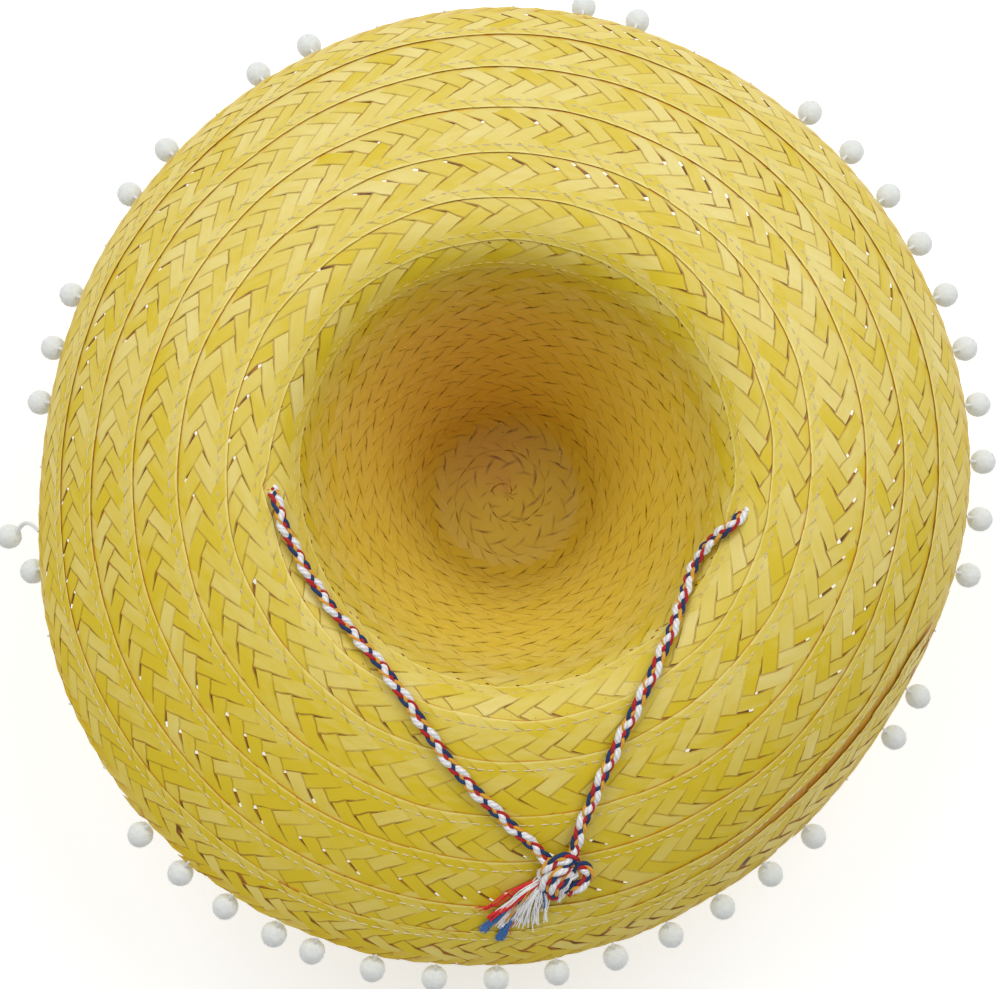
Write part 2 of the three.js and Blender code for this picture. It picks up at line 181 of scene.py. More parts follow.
# Painted sheen: the brim is paler on its side towards the lamps and more golden on the side away, turned
# round on the flare
AWAY_FROM_LAMPS_BEARING = math.radians(250)
SHEEN_SLANTS, SHEEN_SHARES = [WALL_END, CREST, CREST + 0.05], [-0.6, 0, 1]
# Painted shade inside the crown, strongest on the inner wall that faces away from the lamps, and over the
# crown's top
SHADED_WALL_BEARING = math.radians(115)
SHADED_WALL_POWER = 3
INSIDE_SLANTS = (WALL_END - 0.058, WALL_END + 0.012)
TOP_SLANTS = (0.05, 0.075)

# The sewing thread: a stitch's places along it and how deep they dip, how far in from the row's edge it
# runs, and how much of the lap's rise it has on each face
STITCH_PLACES = np.array([0.02, 0.18, 0.72, 0.88])
STITCH_DIPS = np.array([-0.0005, 0.0001, 0.0001, -0.0005])
STITCH_SHIFT = 0.15
STITCH_REACHES = (0.6, 1)
SEAM_START, SEAM_END = 0.1, 0.03  # thread left out at the plait's two ends
SEAM_INSET, SEAM_SHARE = 0.0047, 0.14
SEAM_WAVE, SEAM_WAVE_RATE, SEAM_SCATTER = 0.0003, 31, 0.00015
SEAM_LAPS = ((1, 0.72), (-1, 0.65))
SEAM_INSIDE_SLANTS = (CREST - 0.05, CREST)
THREAD_RADIUS, THINNER_INSIDE = 0.00036, 0.00015
THREAD_SIDES = 4
THREAD_SEED = 5

# The chin cord's route over the brim: distance out from the top of the crown's wall in millimetres, bearing
# in degrees, and lift in millimetres
LEFT_CORD = [
    (24, 185.95, 0.25), (24, 186.8, 2), (24, 188.5, 4.3), (23.6, 191, 5.5), (23, 194.5, 5.5),
    (20.5, 204, 5.5), (19.5, 213.5, 5.5), (19.5, 222, 5.5), (20.5, 229.5, 5.5), (24, 236.8, 5.5),
    (30.5, 244, 5.5), (39.5, 250.5, 5.5), (54, 257.2, 5.5), (67.5, 262.8, 5.5), (85.5, 269.2, 5.5),
    (101, 273.7, 6.2), (111.7, 276.1, 7.4),
]
RIGHT_CORD = [
    (22.95, 348.85, 0.25), (22.6, 348, 2), (21.6, 346.4, 4.3), (19, 344.2, 5.5), (14, 341.3, 5.5),
    (8.6, 336.5, 5.5), (8.4, 330.5, 5.5), (11.4, 325, 5.5), (16, 320, 5.5), (24, 311, 5.5),
    (33, 303, 5.5), (45.5, 295.2, 5.5), (61.5, 288.8, 5.5), (82.5, 283.2, 5.5), (98, 280.4, 6.2),
    (111.2, 278.8, 7.4),
]
HIDDEN_CORD = [
    (24, 185.65, -0.25), (24, 184.8, -2), (24, 183.1, -4.6), (22.6, 179.6, -6), (20, 172, -6),
    (18, 160, -6), (17, 145, -6), (17, 125, -6), (17, 105, -6), (17, 85, -6), (17, 65, -6), (17, 45, -6),
    (17, 25, -6), (18, 8, -6), (20, -3, -6), (23, -8.1, -4.8), (23, -10, -2), (23.05, -10.85, -0.25),
]
KNOT = [
    (119, 278.4, 4), (113, 279.3, 6.2), (108.2, 278.7, 9), (106.8, 277.4, 11), (108.4, 276.1, 11),
    (112.4, 275.2, 9.5), (117.8, 274.7, 6.5), (120.8, 275.2, 4.2), (118.4, 276.5, 4), (115.2, 278, 4.6),
    (113.6, 279, 7), (112.8, 278, 10.3), (114.2, 276.9, 11.5), (117.8, 275.6, 10.5), (122.8, 274.9, 8),
    (127.8, 274.6, 5.5), (127.8, 275.3, 4.2), (123.4, 276.6, 4), (119.5, 277.9, 5), (118.3, 278.4, 7.5),
    (119.8, 277.4, 10.2), (124.6, 276.2, 9.5), (130.6, 275.7, 6.3), (132, 276.2, 4.2), (126.5, 277.5, 4),
    (120.5, 279, 5.5), (115.6, 279.7, 8), (114.4, 280.4, 9), (117.5, 281, 8.8), (122.6, 280.7, 8.2),
    (125.8, 279.7, 8), (127.6, 278.6, 7.3), (130.8, 277.6, 6),
]
GAP_OPENING, GAP_REACH = 0.0046, 0.015  # how far straw makes way for the cord, and out to where

# The braid, in shares of its diameter: its strands' radii in the order navy, red, white and gold, and how
# far they swing across it and rise off it
STRAND_RADII = (0.185, 0.185, 0.29, 0.17)
STRAND_SIDES = 8
BRAID_SWING, BRAID_RISE = 0.325, 0.14
BRAID_STEP = 0.0011  # along the route
ROUTE_STEPS = 40  # fine steps to each point of a route
KNOT_STRETCH = 1.5

# The tassel's locks: strand of the braid, yarns, the places that they start from, bow out to and end at as
# in the routes, and in millimetres how far they spread at their ends, out and round, and a yarn's radius
TASSEL = [
    (1, 8, (121.5, 274, 4), (126, 269.8, 7.5), (140, 266.6, 3), (1.5, 1.3), 0.32),
    (1, 14, (124.5, 274.2, 4.5), (131.5, 270.6, 8), (145.2, 267.2, 3.2), (1, 0.8), 0.34),
    (2, 9, (120.5, 274.4, 4.5), (127, 271.3, 8.5), (141, 268.4, 4.5), (3, 0.9), 0.32),
    (2, 16, (126, 274, 4), (134, 271.2, 6), (150.8, 268.7, 2.6), (1.5, 1.3), 0.3),
    (0, 22, (131, 271.4, 4), (145, 268.6, 3.6), (153.8, 266.5, 2.5), (0.8, 0.9), 0.32),
    (0, 28, (132, 271.6, 4), (145, 270.6, 4), (160.4, 268.6, 2.5), (0.7, 1.1), 0.32),
    (2, 6, (124, 274, 5), (133, 272, 8), (148.8, 270.3, 3), (2.8, 1.5), 0.34),
    (2, 6, (124, 274, 5), (131, 272.4, 8.5), (150.8, 271.1, 3), (2.8, 1.6), 0.34),
    (2, 6, (124.5, 274, 5), (130, 272.9, 8.5), (149.8, 271.9, 3), (2.8, 1.6), 0.34),
    (2, 6, (124.5, 274.2, 5), (130, 273.3, 8.5), (150, 272.8, 3), (2.8, 1.6), 0.34),
    (2, 6, (126, 274.4, 5), (131.4, 273.8, 8), (148.5, 273.5, 3), (2.6, 1.5), 0.34),
    (2, 4, (127, 274.6, 5), (132, 274.4, 7.5), (150.4, 274.3, 3), (1.8, 1.1), 0.34),
    (2, 7, (127.5, 274.9, 5), (131.2, 275, 7), (142.4, 274.4, 3), (1.5, 1.2), 0.34),
    (0, 2, (125.5, 274, 6), (131, 274.2, 8.5), (139, 274.3, 5.5), (0.5, 0.5), 0.3),
    (1, 2, (128, 272.6, 5), (140, 271.2, 5), (156, 269.9, 2.8), (0.6, 0.5), 0.25),
    (3, 3, (126, 273, 6), (134, 271.4, 8), (147, 269.4, 4), (1.5, 0.8), 0.3),
    (2, 14, (119.8, 278.9, 7.5), (122.5, 277.6, 11.8), (131.5, 276.8, 5), (0.8, 0.8), 0.42),
    (2, 8, (129.5, 276.9, 6), (133, 276.6, 6), (137.2, 276.3, 3), (1.5, 0.9), 0.32),
]
YARN_POINTS, YARN_SIDES = 11, 5
YARN_LENGTH = 0.03
YARN_SCATTER, YARN_LIFT = 0.0009, 0.0007
YARN_WAVE, YARN_WAVE_RATES, YARN_WAVE_START = 0.0011, (5, 9), 6
YARN_BEND = 0.4  # share of its spread that a yarn has where it bows out
TASSEL_SEED = 3

# Pompoms round the rim: first and last bearing and count of each run, the slope of their threads below level
# and the thread's length in millimetres
POMPOM_RUNS = [
    (-12.1, 50.5, 10, 40, 5), (58.4, 66.4, 2, 125, 5), (74.3, 81, 2, 52, 5), (89.5, 106.4, 3, 125, 5),
    (114.9, 121.9, 2, 50, 5), (129, 129, 1, 125, 5), (136.3, 143.3, 2, 50, 5), (150.3, 150.3, 1, 125, 5),
    (157.4, 171, 3, 50, 5), (179, 179, 1, 125, 5), (186.9, 186.9, 1, 30, 16), (191.4, 191.4, 1, 58, 5),
    (199.5, 216.2, 3, 125, 5), (224.5, 243, 4, 42, 5), (247.6, 310.2, 10, 40, 5), (318, 318, 1, 125, 5),
    (325.9, 331.8, 2, 38, 5), (340, 340, 1, 125, 5),
]
RIM_LIFT = -0.0004  # the threads leave the rim just under its middle
BALL_GAP = 0.0004
BALL_LUMPS = 0.00035  # how far its locks stand in and out
BALL_SPIN = 7  # turns each ball differently, by its bearing
BALL_SEED = 4
HAIRS, HAIR_ROOT = 420, 0.0003
HAIR_REACHES = (0.35, 1)  # shares of the longest hair
HAIR_STAND, HAIR_ARCH = 0.6, 0.3  # how far its tip and its middle stand out, as shares of its reach
HAIR_RADII = np.array([7e-5, 6e-5, 2e-5])
HAIR_LENGTHS = [0, 0.001, 0.002]
HAIR_SIDES = 3
STEM_POINTS, STEM_SIDES = 9, 6
STEM_ROOT = 0.0006
STEM_TIP = 0.8  # a share of the ball's radius
STEM_ACROSS = (0.1, 0.2, 1.0)  # a direction that no thread runs in
LONG_THREAD = 0.01  # longer threads bow aside and up, and are thicker
LONG_BOW, LONG_BOW_UP, LONG_THICKNESS = 0.012, 0.3, 1.7

# Grain: counts to a metre along a strip, strand or thread and to its width across, and radians of twist
STREAKS_ALONG, STREAKS_ACROSS = 60.0, 13.0
CLOUDS_ALONG = 45.0
GRAIN_SHIFT = 57.0  # moves each strip's grain by its tint
THREAD_TWIST = 5200.0
YARN_TWIST, YARN_PLIES = 2400.0, 3
FIBRES_ALONG, FIBRES_ACROSS = 900.0, 14.0
WOOL_LOCKS, WOOL_FIBRES = 420.0, 2600.0

# The camera stands this far to the left and the near side of the brim's middle
CAMERA_LEFT, CAMERA_DOWN = 0.0056, 0.0154
SENSOR_WIDTH = 36
FLOOR_SIZE = 12
LIGHT_AIM = Vector((0, 0, 0.15))
LIGHT_SIZE = 1.2
# Lights: name, place, and share of the key light's power
LIGHTS = (
    ("key_light", (-0.85, 0.85, 1.7), 0.96),
    ("second_key_light", (0.95, 0.8, 1.7), 1.01),
)


def size_setting(name, description, metres):
    """A size that a user may change."""
    return FloatProperty(name=name, description=description, default=metres, unit="LENGTH")


def share_setting(name, description, share):
    """A share that a user may change."""
    return FloatProperty(name=name, description=description, default=share, subtype="FACTOR")


def colour_setting(name, description, *colour):
    """A colour that a user may change."""
    return FloatVectorProperty(name=name, description=description, default=colour, subtype="COLOR")


class StrawSettings(bpy.types.PropertyGroup):
    """Sizes and colours of the plaited straw"""

    plait_width: size_setting("Plait width", "Width of the plait, edge to edge", 0.0335)
    period: size_setting("Period", "Length of plait from one strip to the next", 0.0149)
    thickness: size_setting("Strip thickness", "Thickness of one strip of straw", 0.00013)
    relief: size_setting("Relief", "Height of a strip over or under the middle", 0.00013)
    lap: size_setting("Lap", "Rise of each row's inner edge over its middle", 0.00062)
    narrowing: share_setting("Narrowing", "Most that a strip's edge draws in", 0.17)
    holes: share_setting("Holes", "How far strips draw in round a hole", 0.19)
    end_lift: size_setting("Loose end", "Lift of the last row where the plait ends", 0.0011)
    stitch: size_setting("Stitch", "Length of one stitch and its gap", 0.0062)
    # Painted sheen: paler straw on the brim's side towards the lamps
    painted_sheen: share_setting("Bleaching", "How much paler the far side of the brim is", 0.27)
    pale: colour_setting("Pale straw", "Colour of the palest strips", 0.76, 0.645, 0.23)
    golden: colour_setting("Golden straw", "Colour of the deepest strips", 0.65, 0.49, 0.01)
    # Painted shade inside the crown: its colour there, on the wall that faces away from the lamps, and over
    # the crown's top
    inside: colour_setting("Inside", "Colour of the straw inside the crown", 0.83, 0.62, 0.07)
    tan: colour_setting("Tan", "Colour of the crown's tanned side", 0.77, 0.44, 0.085)
    top: colour_setting("Top", "Shade over the straw of the crown's top", 0.83, 0.75, 0.32)
    # A painted highlight where strips fold over at the plait's edge
    fold: colour_setting("Fold", "Colour where strips fold over at the plait's edge", 0.9, 0.8, 0.3)
    # Painted shade along the strips' forward edges, darker in the crown
    line: colour_setting("Line", "Colour along the strips' edges", 0.28, 0.125, 0.001)
    crown_line: colour_setting("Crown line", "Colour along edges in the crown", 0.18, 0.062, 0.002)
    # Painted shade, with staining, in slits, in the open gap and in the rim's notches
    crease_shade_and_stain: colour_setting("Stain", "Colour of the straw in the slits", 0.48, 0.18, 0.008)
    deep_crease_shade_and_stain: colour_setting("Deep stain", "Colour in the darkest slits", 0.13, 0.05, 0.003)
    # Painted shade under the edge of the row above
    rust: colour_setting("Rust", "Stain along the edge of the row above", 0.6, 0.23, 0.008)
    thread: colour_setting("Thread", "Colour of the sewing thread", 0.6, 0.51, 0.3)
    # A painted highlight on the thread's twist, and painted shade on it inside the crown
    thread_light: colour_setting("Thread, light", "Colour on the thread's twist", 0.74, 0.66, 0.46)
    thread_inside: colour_setting("Thread, inside", "Colour inside the crown", 0.76, 0.53, 0.09)


class WoolSettings(bpy.types.PropertyGroup):
    """Sizes and colours of the pompoms"""

    radius: size_setting("Radius", "Radius of a pompom's wool", 0.0074)
    fuzz: size_setting("Fuzz", "Length of the loose hairs", 0.0009)
    thread: size_setting("Thread", "Radius of the thread that holds it", 0.0008)
    white: colour_setting("Wool", "Colour of the wool", 0.74, 0.76, 0.74)
    shade: colour_setting("Shade", "Colour between the locks", 0.67, 0.695, 0.675)


class CordSettings(bpy.types.PropertyGroup):
    """Sizes and colours of the braided cord"""

    diameter: size_setting("Diameter", "Width of the braid", 0.0065)
    repeat: size_setting("Repeat", "Length in which each strand comes back", 0.0262)
    navy: colour_setting("Navy", "Colour of the blue strand", 0.008, 0.036, 0.13)
    red: colour_setting("Red", "Colour of the red strand", 0.5, 0.01, 0.014)
    white: colour_setting("White", "Colour of the thick strand", 0.86, 0.86, 0.87)
    gold: colour_setting("Gold", "Colour of the golden strand", 0.8, 0.38, 0.035)
    frayed_navy: colour_setting("Frayed navy", "Colour of the blue ends", 0.05, 0.17, 0.46)
    frayed_red: colour_setting("Frayed red", "Colour of the red ends", 0.8, 0.025, 0.03)
    frayed_white: colour_setting("Frayed white", "Colour of the white ends", 0.93, 0.93, 0.92)


class StudioSettings(bpy.types.PropertyGroup):
    """Camera, light and floor"""

    distance: size_setting("Distance", "Camera to the middle of the brim", 0.95)
    elevation: FloatProperty(
        name="Elevation", description="Camera above level", default=math.radians(86), subtype="ANGLE"
    )
    lens: FloatProperty(name="Lens", description="Focal length", default=61.06, unit="CAMERA")
    key: FloatProperty(name="Key light", description="Power of the key light", default=16, unit="POWER")
    ambient: FloatProperty(name="Ambient", description="Strength of the light all round", default=0.46)
    floor: colour_setting("Floor", "Colour of the floor", 0.8, 0.8, 0.8)
    glow: FloatProperty(name="Floor glow", description="Light that comes up through the floor", default=0.42)


def rim_turn(bearing):
    """How far the brim has curled down by the rim, smoothly between the rows of its table."""
    count = len(RIM_CURL)
    place = np.mod(bearing, math.tau) * count / math.tau
    row = np.floor(place).astype(int)
    t = place - row
    a, b, c, d = (RIM_CURL[(row + k) % count] for k in (-1, 0, 1, 2))
    return b + 0.5 * t * (c - a + t * (2 * a - 5 * b + 4 * c - d + t * (3 * (b - c) + d - a)))


def hat_section(slant, bearing):
    """Radius, height and heading of the middle of the straw."""
    slant, bearing = np.broadcast_arrays(slant, bearing)
    heading = np.clip((slant - CROWN_TOP_RADIUS) / SHOULDER_RADIUS, 0, WALL_HEADING)
    up = np.clip(slant - SHOULDER_END, 0, WALL_LENGTH)
    radius = np.minimum(slant, CROWN_TOP_RADIUS) + SHOULDER_RADIUS * np.sin(heading)
    radius = radius + up * math.cos(WALL_HEADING)
    height = HALF_STRAW + SHOULDER_RADIUS * (1 - np.cos(heading)) + up * math.sin(WALL_HEADING)
    past = slant - CREST
    bend = np.where(past < 0, FLARE_RADIUS, BRIM_SLANT / rim_turn(bearing))
    lean = -past / bend
    on_brim = slant > WALL_END
    return (
        np.where(on_brim, CREST_RADIUS - bend * np.sin(lean), radius),
        np.where(on_brim, CROWN_HEIGHT - bend * (1 - np.cos(lean)), height),
        np.where(on_brim, lean, heading),
    )


def hat_point(slant, bearing, lift):
    """Points at a lift off the straw."""
    radius, height, heading = hat_section(slant, bearing)
    radius = radius - lift * np.sin(heading)
    return np.stack(
        [radius * np.cos(bearing), radius * np.sin(bearing), height + lift * np.cos(heading)], axis=-1
    )


def hat_face(slant, bearing):
    """Directions off the straw's face, towards the side that a head goes in."""
    heading = hat_section(slant, bearing)[2]
    return np.stack(
        [-np.sin(heading) * np.cos(bearing), -np.sin(heading) * np.sin(bearing), np.cos(heading)], axis=-1
    )


def waves(turn, table):
    """The sum of a table's waves at turns of the spiral."""
    return sum(height * np.sin(rate * turn + phase) for height, rate, phase in table)


def bearing_of(turn):
    """Bearing at a turn of the spiral."""
    return END_BEARING + math.tau * turn


def row_edge(turn):
    """Slant of a row's inner edge, with the waver of hand sewing."""
    waver = WAVER * waves(turn, SEWING_WAVES)
    return np.interp(turn, EDGE_TURNS, EDGE_SLANTS) + waver * np.clip(turn - FIRST_TURN - 1, 0, 1)


def row_width(turn, straw):
    """Width of the plait, stretched to reach under the next row and gathered along the rim."""
    to_rim = RIM - row_edge(turn)
    to_next = np.where(turn < LAPPED_TURN, row_edge(turn + 1) - row_edge(turn) + UNDERLAP, 0)
    reach = np.maximum(to_next, to_rim * np.interp(turn, RIM_TURNS, RISING))
    return np.minimum(np.maximum(straw.plait_width, reach), to_rim)


def row_lap(slant, straw):
    """Rise of a row's inner edge over its middle."""
    return straw.lap * np.interp(slant, LAP_SLANTS, LAP_SHARES)


def row_relief(slant, straw):
    """Height of a strip over or under the middle of the plait."""
    return straw.relief * np.interp(slant, RELIEF_SLANTS, RELIEF_SHARES)


def plait_beats(straw):
    """Turns along the plait, and the count of strips up to each."""
    turns = np.linspace(FIRST_TURN, LAST_TURN, PLAIT_STEPS)
    middle = row_edge(turns) + row_width(turns, straw) / 2
    radius = hat_section(middle, bearing_of(turns))[0]
    period = straw.period * np.interp(middle, PERIOD_SLANTS, PERIOD_SHARES)
    steps = math.tau * radius / period * (turns[1] - turns[0])
    return turns, np.cumsum(steps) - steps[0]


def pushed_aside(slant, bearing):
    """Slants and bearings of straw that makes way for the cord at the two gaps that it goes through."""
    for along, degrees, _ in (LEFT_CORD[0], RIGHT_CORD[0]):
        gap_slant, gap_bearing = WALL_END + along / PER_METRE, math.radians(degrees)
        radius = float(hat_section(gap_slant, gap_bearing)[0])
        across = slant - gap_slant
        turned = np.mod(bearing - gap_bearing + math.pi, math.tau) - math.pi
        away = np.maximum(np.hypot(across, radius * turned), NEAREST)
        push = np.where(away < GAP_REACH, GAP_OPENING * (1 - away / GAP_REACH) / away, 0)
        slant = slant + across * push
        bearing = bearing + turned * push
    return slant, bearing


def end_lift(turn, share, straw):
    """How far the inner edge of the last row stands up before the plait's end."""
    return straw.end_lift * np.interp(turn, LIFT_TURNS, RISING) ** 2 * (1 - share) ** 2


def looseness(turn):
    """How far the strips are spread apart: in stretches, as the plait was pulled."""
    return np.clip(PULL * waves(turn, PULLING_WAVES), 0, 1) * np.interp(turn, LOOSE_TURNS, RISING)


def brown_gap(turn):
    """Where the row before the plait's end shows painted shade and staining, as the last row stands open
    over it.
    """
    return np.sqrt(np.interp(abs(turn - GAP_TURN), [0, GAP_HALF_WIDTH], FALLING))


def tube_faces(tubes, rings, sides):
    """Corners of the walls and the two ends of tubes whose points go ring by ring, tube by tube."""
    side = np.arange(sides)
    ahead = (side + 1) % sides
    wall = np.stack([side, ahead, ahead + sides, side + sides], axis=1)
    walls = wall[None] + sides * np.arange(rings - 1)[:, None, None]
    starts = rings * sides * np.arange(tubes)
    quads = (walls.reshape(1, -1, 4) + starts[:, None, None]).reshape(-1, 4)
    near = starts[:, None] + side[::-1]
    far = starts[:, None] + (rings - 1) * sides + side
    return quads, np.concatenate([near, far])


def tube_uv(lengths, around, sides):
    """Face corners' places along and around tubes, in the order of tube_faces."""
    tubes, rings = lengths.shape
    low = np.broadcast_to(lengths[:, :-1, None], (tubes, rings - 1, sides))
    high = np.broadcast_to(lengths[:, 1:, None], low.shape)
    left = np.broadcast_to(around[:-1], low.shape)
    right = np.broadcast_to(around[1:], low.shape)
    corners = ((low, left), (low, right), (high, right), (high, left))
    wall = np.stack([np.stack(corner, axis=-1) for corner in corners], axis=3)
    ends = np.concatenate([lengths[:, 0], lengths[:, -1]])
    cap = np.stack([np.repeat(ends, sides), np.full(2 * tubes * sides, 0.5)], axis=-1)
    return np.concatenate([wall.reshape(-1, 2), cap])


def tubes_mesh(name, rings, lengths, finishes, finish_of_tube=None, around=None, marks=None):
    """A piece of many closed tubes. rings holds points by tube, ring and side."""
    tubes, count, sides = rings.shape[:3]
    quads, caps = tube_faces(tubes, count, sides)
    mesh = bpy.data.meshes.new(name)
    mesh.from_pydata(rings.reshape(-1, 3).tolist(), [], quads.tolist() + caps.tolist())
    around = np.linspace(0, 1, sides + 1) if around is None else around
    grain = tube_uv(lengths, around, sides).ravel().astype(np.float32)
    mesh.uv_layers.new(name="grain").data.foreach_set("uv", grain)
    for mark, values in (marks or {}).items():
        attribute = mesh.attributes.new(mark, "FLOAT", "POINT")
        of_points = np.broadcast_to(values, rings.shape[:3]).ravel().astype(np.float32)
        attribute.data.foreach_set("value", of_points)
    for finish in finishes:
        mesh.materials.append(finish)
    if finish_of_tube is not None:
        walls = np.repeat(finish_of_tube, (count - 1) * sides)
        of_faces = np.concatenate([walls, finish_of_tube, finish_of_tube]).astype(np.int32)
        mesh.polygons.foreach_set("material_index", of_faces)
    piece = bpy.data.objects.new(name, mesh)
    bpy.context.collection.objects.link(piece)
    smooth(piece)
    return piece


def select_only(*pieces):
    """Selects pieces alone, and makes the last of them the active one."""
    bpy.ops.object.select_all(action="DESELECT")
    for piece in pieces:
        piece.select_set(True)
        bpy.context.view_layer.objects.active = piece


def smooth(piece, angle=math.radians(40)):
    """Shades a piece smooth, except over edges sharper than the angle."""
    select_only(piece)
    bpy.ops.object.shade_smooth_by_angle(angle=angle)
    piece.select_set(False)


def join(piece, part):
    """Makes a part one with a piece."""
    select_only(part, piece)
    bpy.ops.object.join()
    piece.select_set(False)


def settle(piece, slot, *nodes):
    """Rides a piece on the hat and hides the CAD nodes that it stands for. The slot is not used."""
    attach(piece, "root")
    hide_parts(*nodes)


def strip_holes(family, numbers, turns, beats):
    """How far strips' forward edges draw in where two gaps cross and light comes through."""
    rows = int(beats[-1]) + SPARE_STRIPS
    table = np.random.default_rng(HOLE_SEED).random((rows, 2 * len(HOLE_CROSSINGS)))
    draw = np.zeros((len(numbers), len(STRIP_COLUMNS)))
    for kind, crossing in enumerate(HOLE_CROSSINGS):
        first = numbers if family > 0 else np.maximum(numbers - crossing, 0)
        chance, size = table[first, 2 * kind : 2 * kind + 2].T
        loose = looseness(np.interp(first + STRANDS / 4, beats, turns))
        size = np.where(chance < HOLE_CHANCE * loose, np.interp(size, RISING, HOLE_SIZES), 0)
        window = np.interp(abs(STRIP_COLUMNS - crossing - family / 2), HOLE_REACH, FALLING)
        draw = np.maximum(draw, size[:, None] * window)
    return draw[:, :, None] * HOLE_DRAWS[family]


class Strips:
    """Strips that cross the plait one way. Arrays go by strip, column, and point of the section."""

    column = STRIP_COLUMNS[None, :, None]

    def __init__(self, straw, family, numbers, turns, beats):
        self.straw, self.family, self.numbers = straw, family, numbers
        self.order = numbers // STRANDS + STRAND_STAGGER * (numbers % STRANDS)
        each = (len(numbers), 1, 1)
        self.middle = np.interp(numbers + family * STRANDS / 4, beats, turns).reshape(each)
        row_middle = row_edge(self.middle) + straw.plait_width / 2
        radius = hat_section(row_middle, bearing_of(self.middle))[0]
        self.on_crown = radius < CREST_RADIUS - CROWN_INSET
        self.ragged = self.middle > RAGGED_TURN
        random = np.random.default_rng(STRIP_SEED + family)
        self.tint = self.draw_tints(random).reshape(each)
        least = np.where(self.on_crown, CROWN_EDGE, np.where(self.ragged, RAGGED_EDGE, 0))
        self.edge = least + (1 - least) * random.random(each)
        self.uneven = random.normal(0, 1, each) * np.where(self.ragged, RAGGED_UNEVEN, UNEVEN)
        self.roll = random.normal(0, ROLL_SPREAD, each)
        self.from_float = abs(self.column - FLOAT_MIDDLES[family])
        self.level = family * np.interp(self.column, FLOAT_COLUMNS, FLOAT_LEVELS)
        self.lay(turns, beats)

    def draw_tints(self, random):
        """Strips' tints, which are much alike in strips of one straw."""
        straws = int(self.numbers.max()) // (STRANDS * STRIPS_IN_A_STRAW) + SPARE_STRAWS
        straw_of_strip = (self.numbers % STRANDS, self.order // STRIPS_IN_A_STRAW)
        of_straws = random.random((STRANDS, straws))[straw_of_strip]
        return STRAW_TINT * of_straws + (1 - STRAW_TINT) * random.random(len(self.numbers))

    def slits(self, turns, beats):
        """How far forward edges draw in: along the middle of each strip's float, and at holes."""
        straw = self.straw
        slit = straw.narrowing * self.edge**SLIT_POWER * np.interp(self.from_float, SLIT_REACH, FALLING)
        on_brim = np.where(self.ragged, RAGGED_SLIT, 1) * BRIM_SLITS[self.family]
        slit = slit * np.where(self.on_crown, CROWN_SLIT * (self.middle > CLOSED_TURN), on_brim)
        return np.maximum(slit, straw.holes * strip_holes(self.family, self.numbers, turns, beats))

    def lay(self, turns, beats):
        """Lays the strips' points across the plait and along its spiral."""
        side = SECTION_SIDES * np.where(self.middle < SPREAD_TURN, CLOSING_SPREAD, STRIP_SPREAD)
        self.side = np.where(side > 0, side * (1 - 2 * self.slits(turns, beats)), side)
        to_end = np.minimum(self.column, STRANDS - self.column)
        skew = np.interp(to_end, SKEW_COLUMNS, RISING)
        share = (self.column - self.family * self.side * skew) / STRANDS
        share = share + self.uneven * np.interp(to_end, [0, 1], [1, -1])
        beat = self.numbers[:, None, None] + self.side + self.family * STRANDS * share / 2
        on_rim = (self.middle > NOTCHED_TURN) * np.interp(self.column, NOTCH_COLUMNS, RISING)
        self.notch = on_rim * (0.5 + 0.5 * np.cos(math.tau * beat))
        self.share = share - NOTCH_DEPTH * self.notch
        self.turn = np.interp(beat, beats, turns)
        self.slant = row_edge(self.turn) + self.share * row_width(self.turn, self.straw)
        self.bearing = bearing_of(self.turn)
        self.pushed = pushed_aside(self.slant, self.bearing)

    def rings(self):
        """Points of the strips, with the rows' laps, the weave and the strips' own section."""
        straw = self.straw
        lift = row_lap(self.slant, straw) * (1 - 2 * self.share) + row_relief(self.slant, straw) * self.level
        roll = STRIP_ROLL * self.side + self.roll * np.sign(self.side)
        lift = lift + straw.thickness * SECTION_HEIGHTS + roll
        lift = lift + end_lift(self.turn, self.share, straw) + PLAIT_LIFT
        return hat_point(*self.pushed, lift)

    def lengths(self):
        """Places along the straws that the strips are cut from."""
        return STRIP_LENGTH * (self.order[:, None] + STRIP_COLUMNS[None, :] / STRANDS)

    def lines(self):
        """How dark the painted shade line along each strip's forward edge is: strokes on the crown, whole on
        the brim.
        """
        strokes = np.interp(self.from_float, STROKE_REACH, FALLING)
        if self.family > 0:
            by_lip = np.interp(abs(self.column - LIP_STROKE), LIP_STROKE_REACH, FALLING)
            strokes = np.maximum(strokes, by_lip)
        past_hem = np.interp(self.column, HEM_COLUMNS, RISING)
        whole = (LEAST_LINE + (1 - LEAST_LINE) * self.edge) * past_hem
        return np.where(self.on_crown, strokes * self.edge, whole)

    def marks(self):
        """What the straw's finish reads at each point."""
        upper = SECTION_FACES > 0
        hem = np.interp(self.column, HEM_COLUMNS, FALLING)
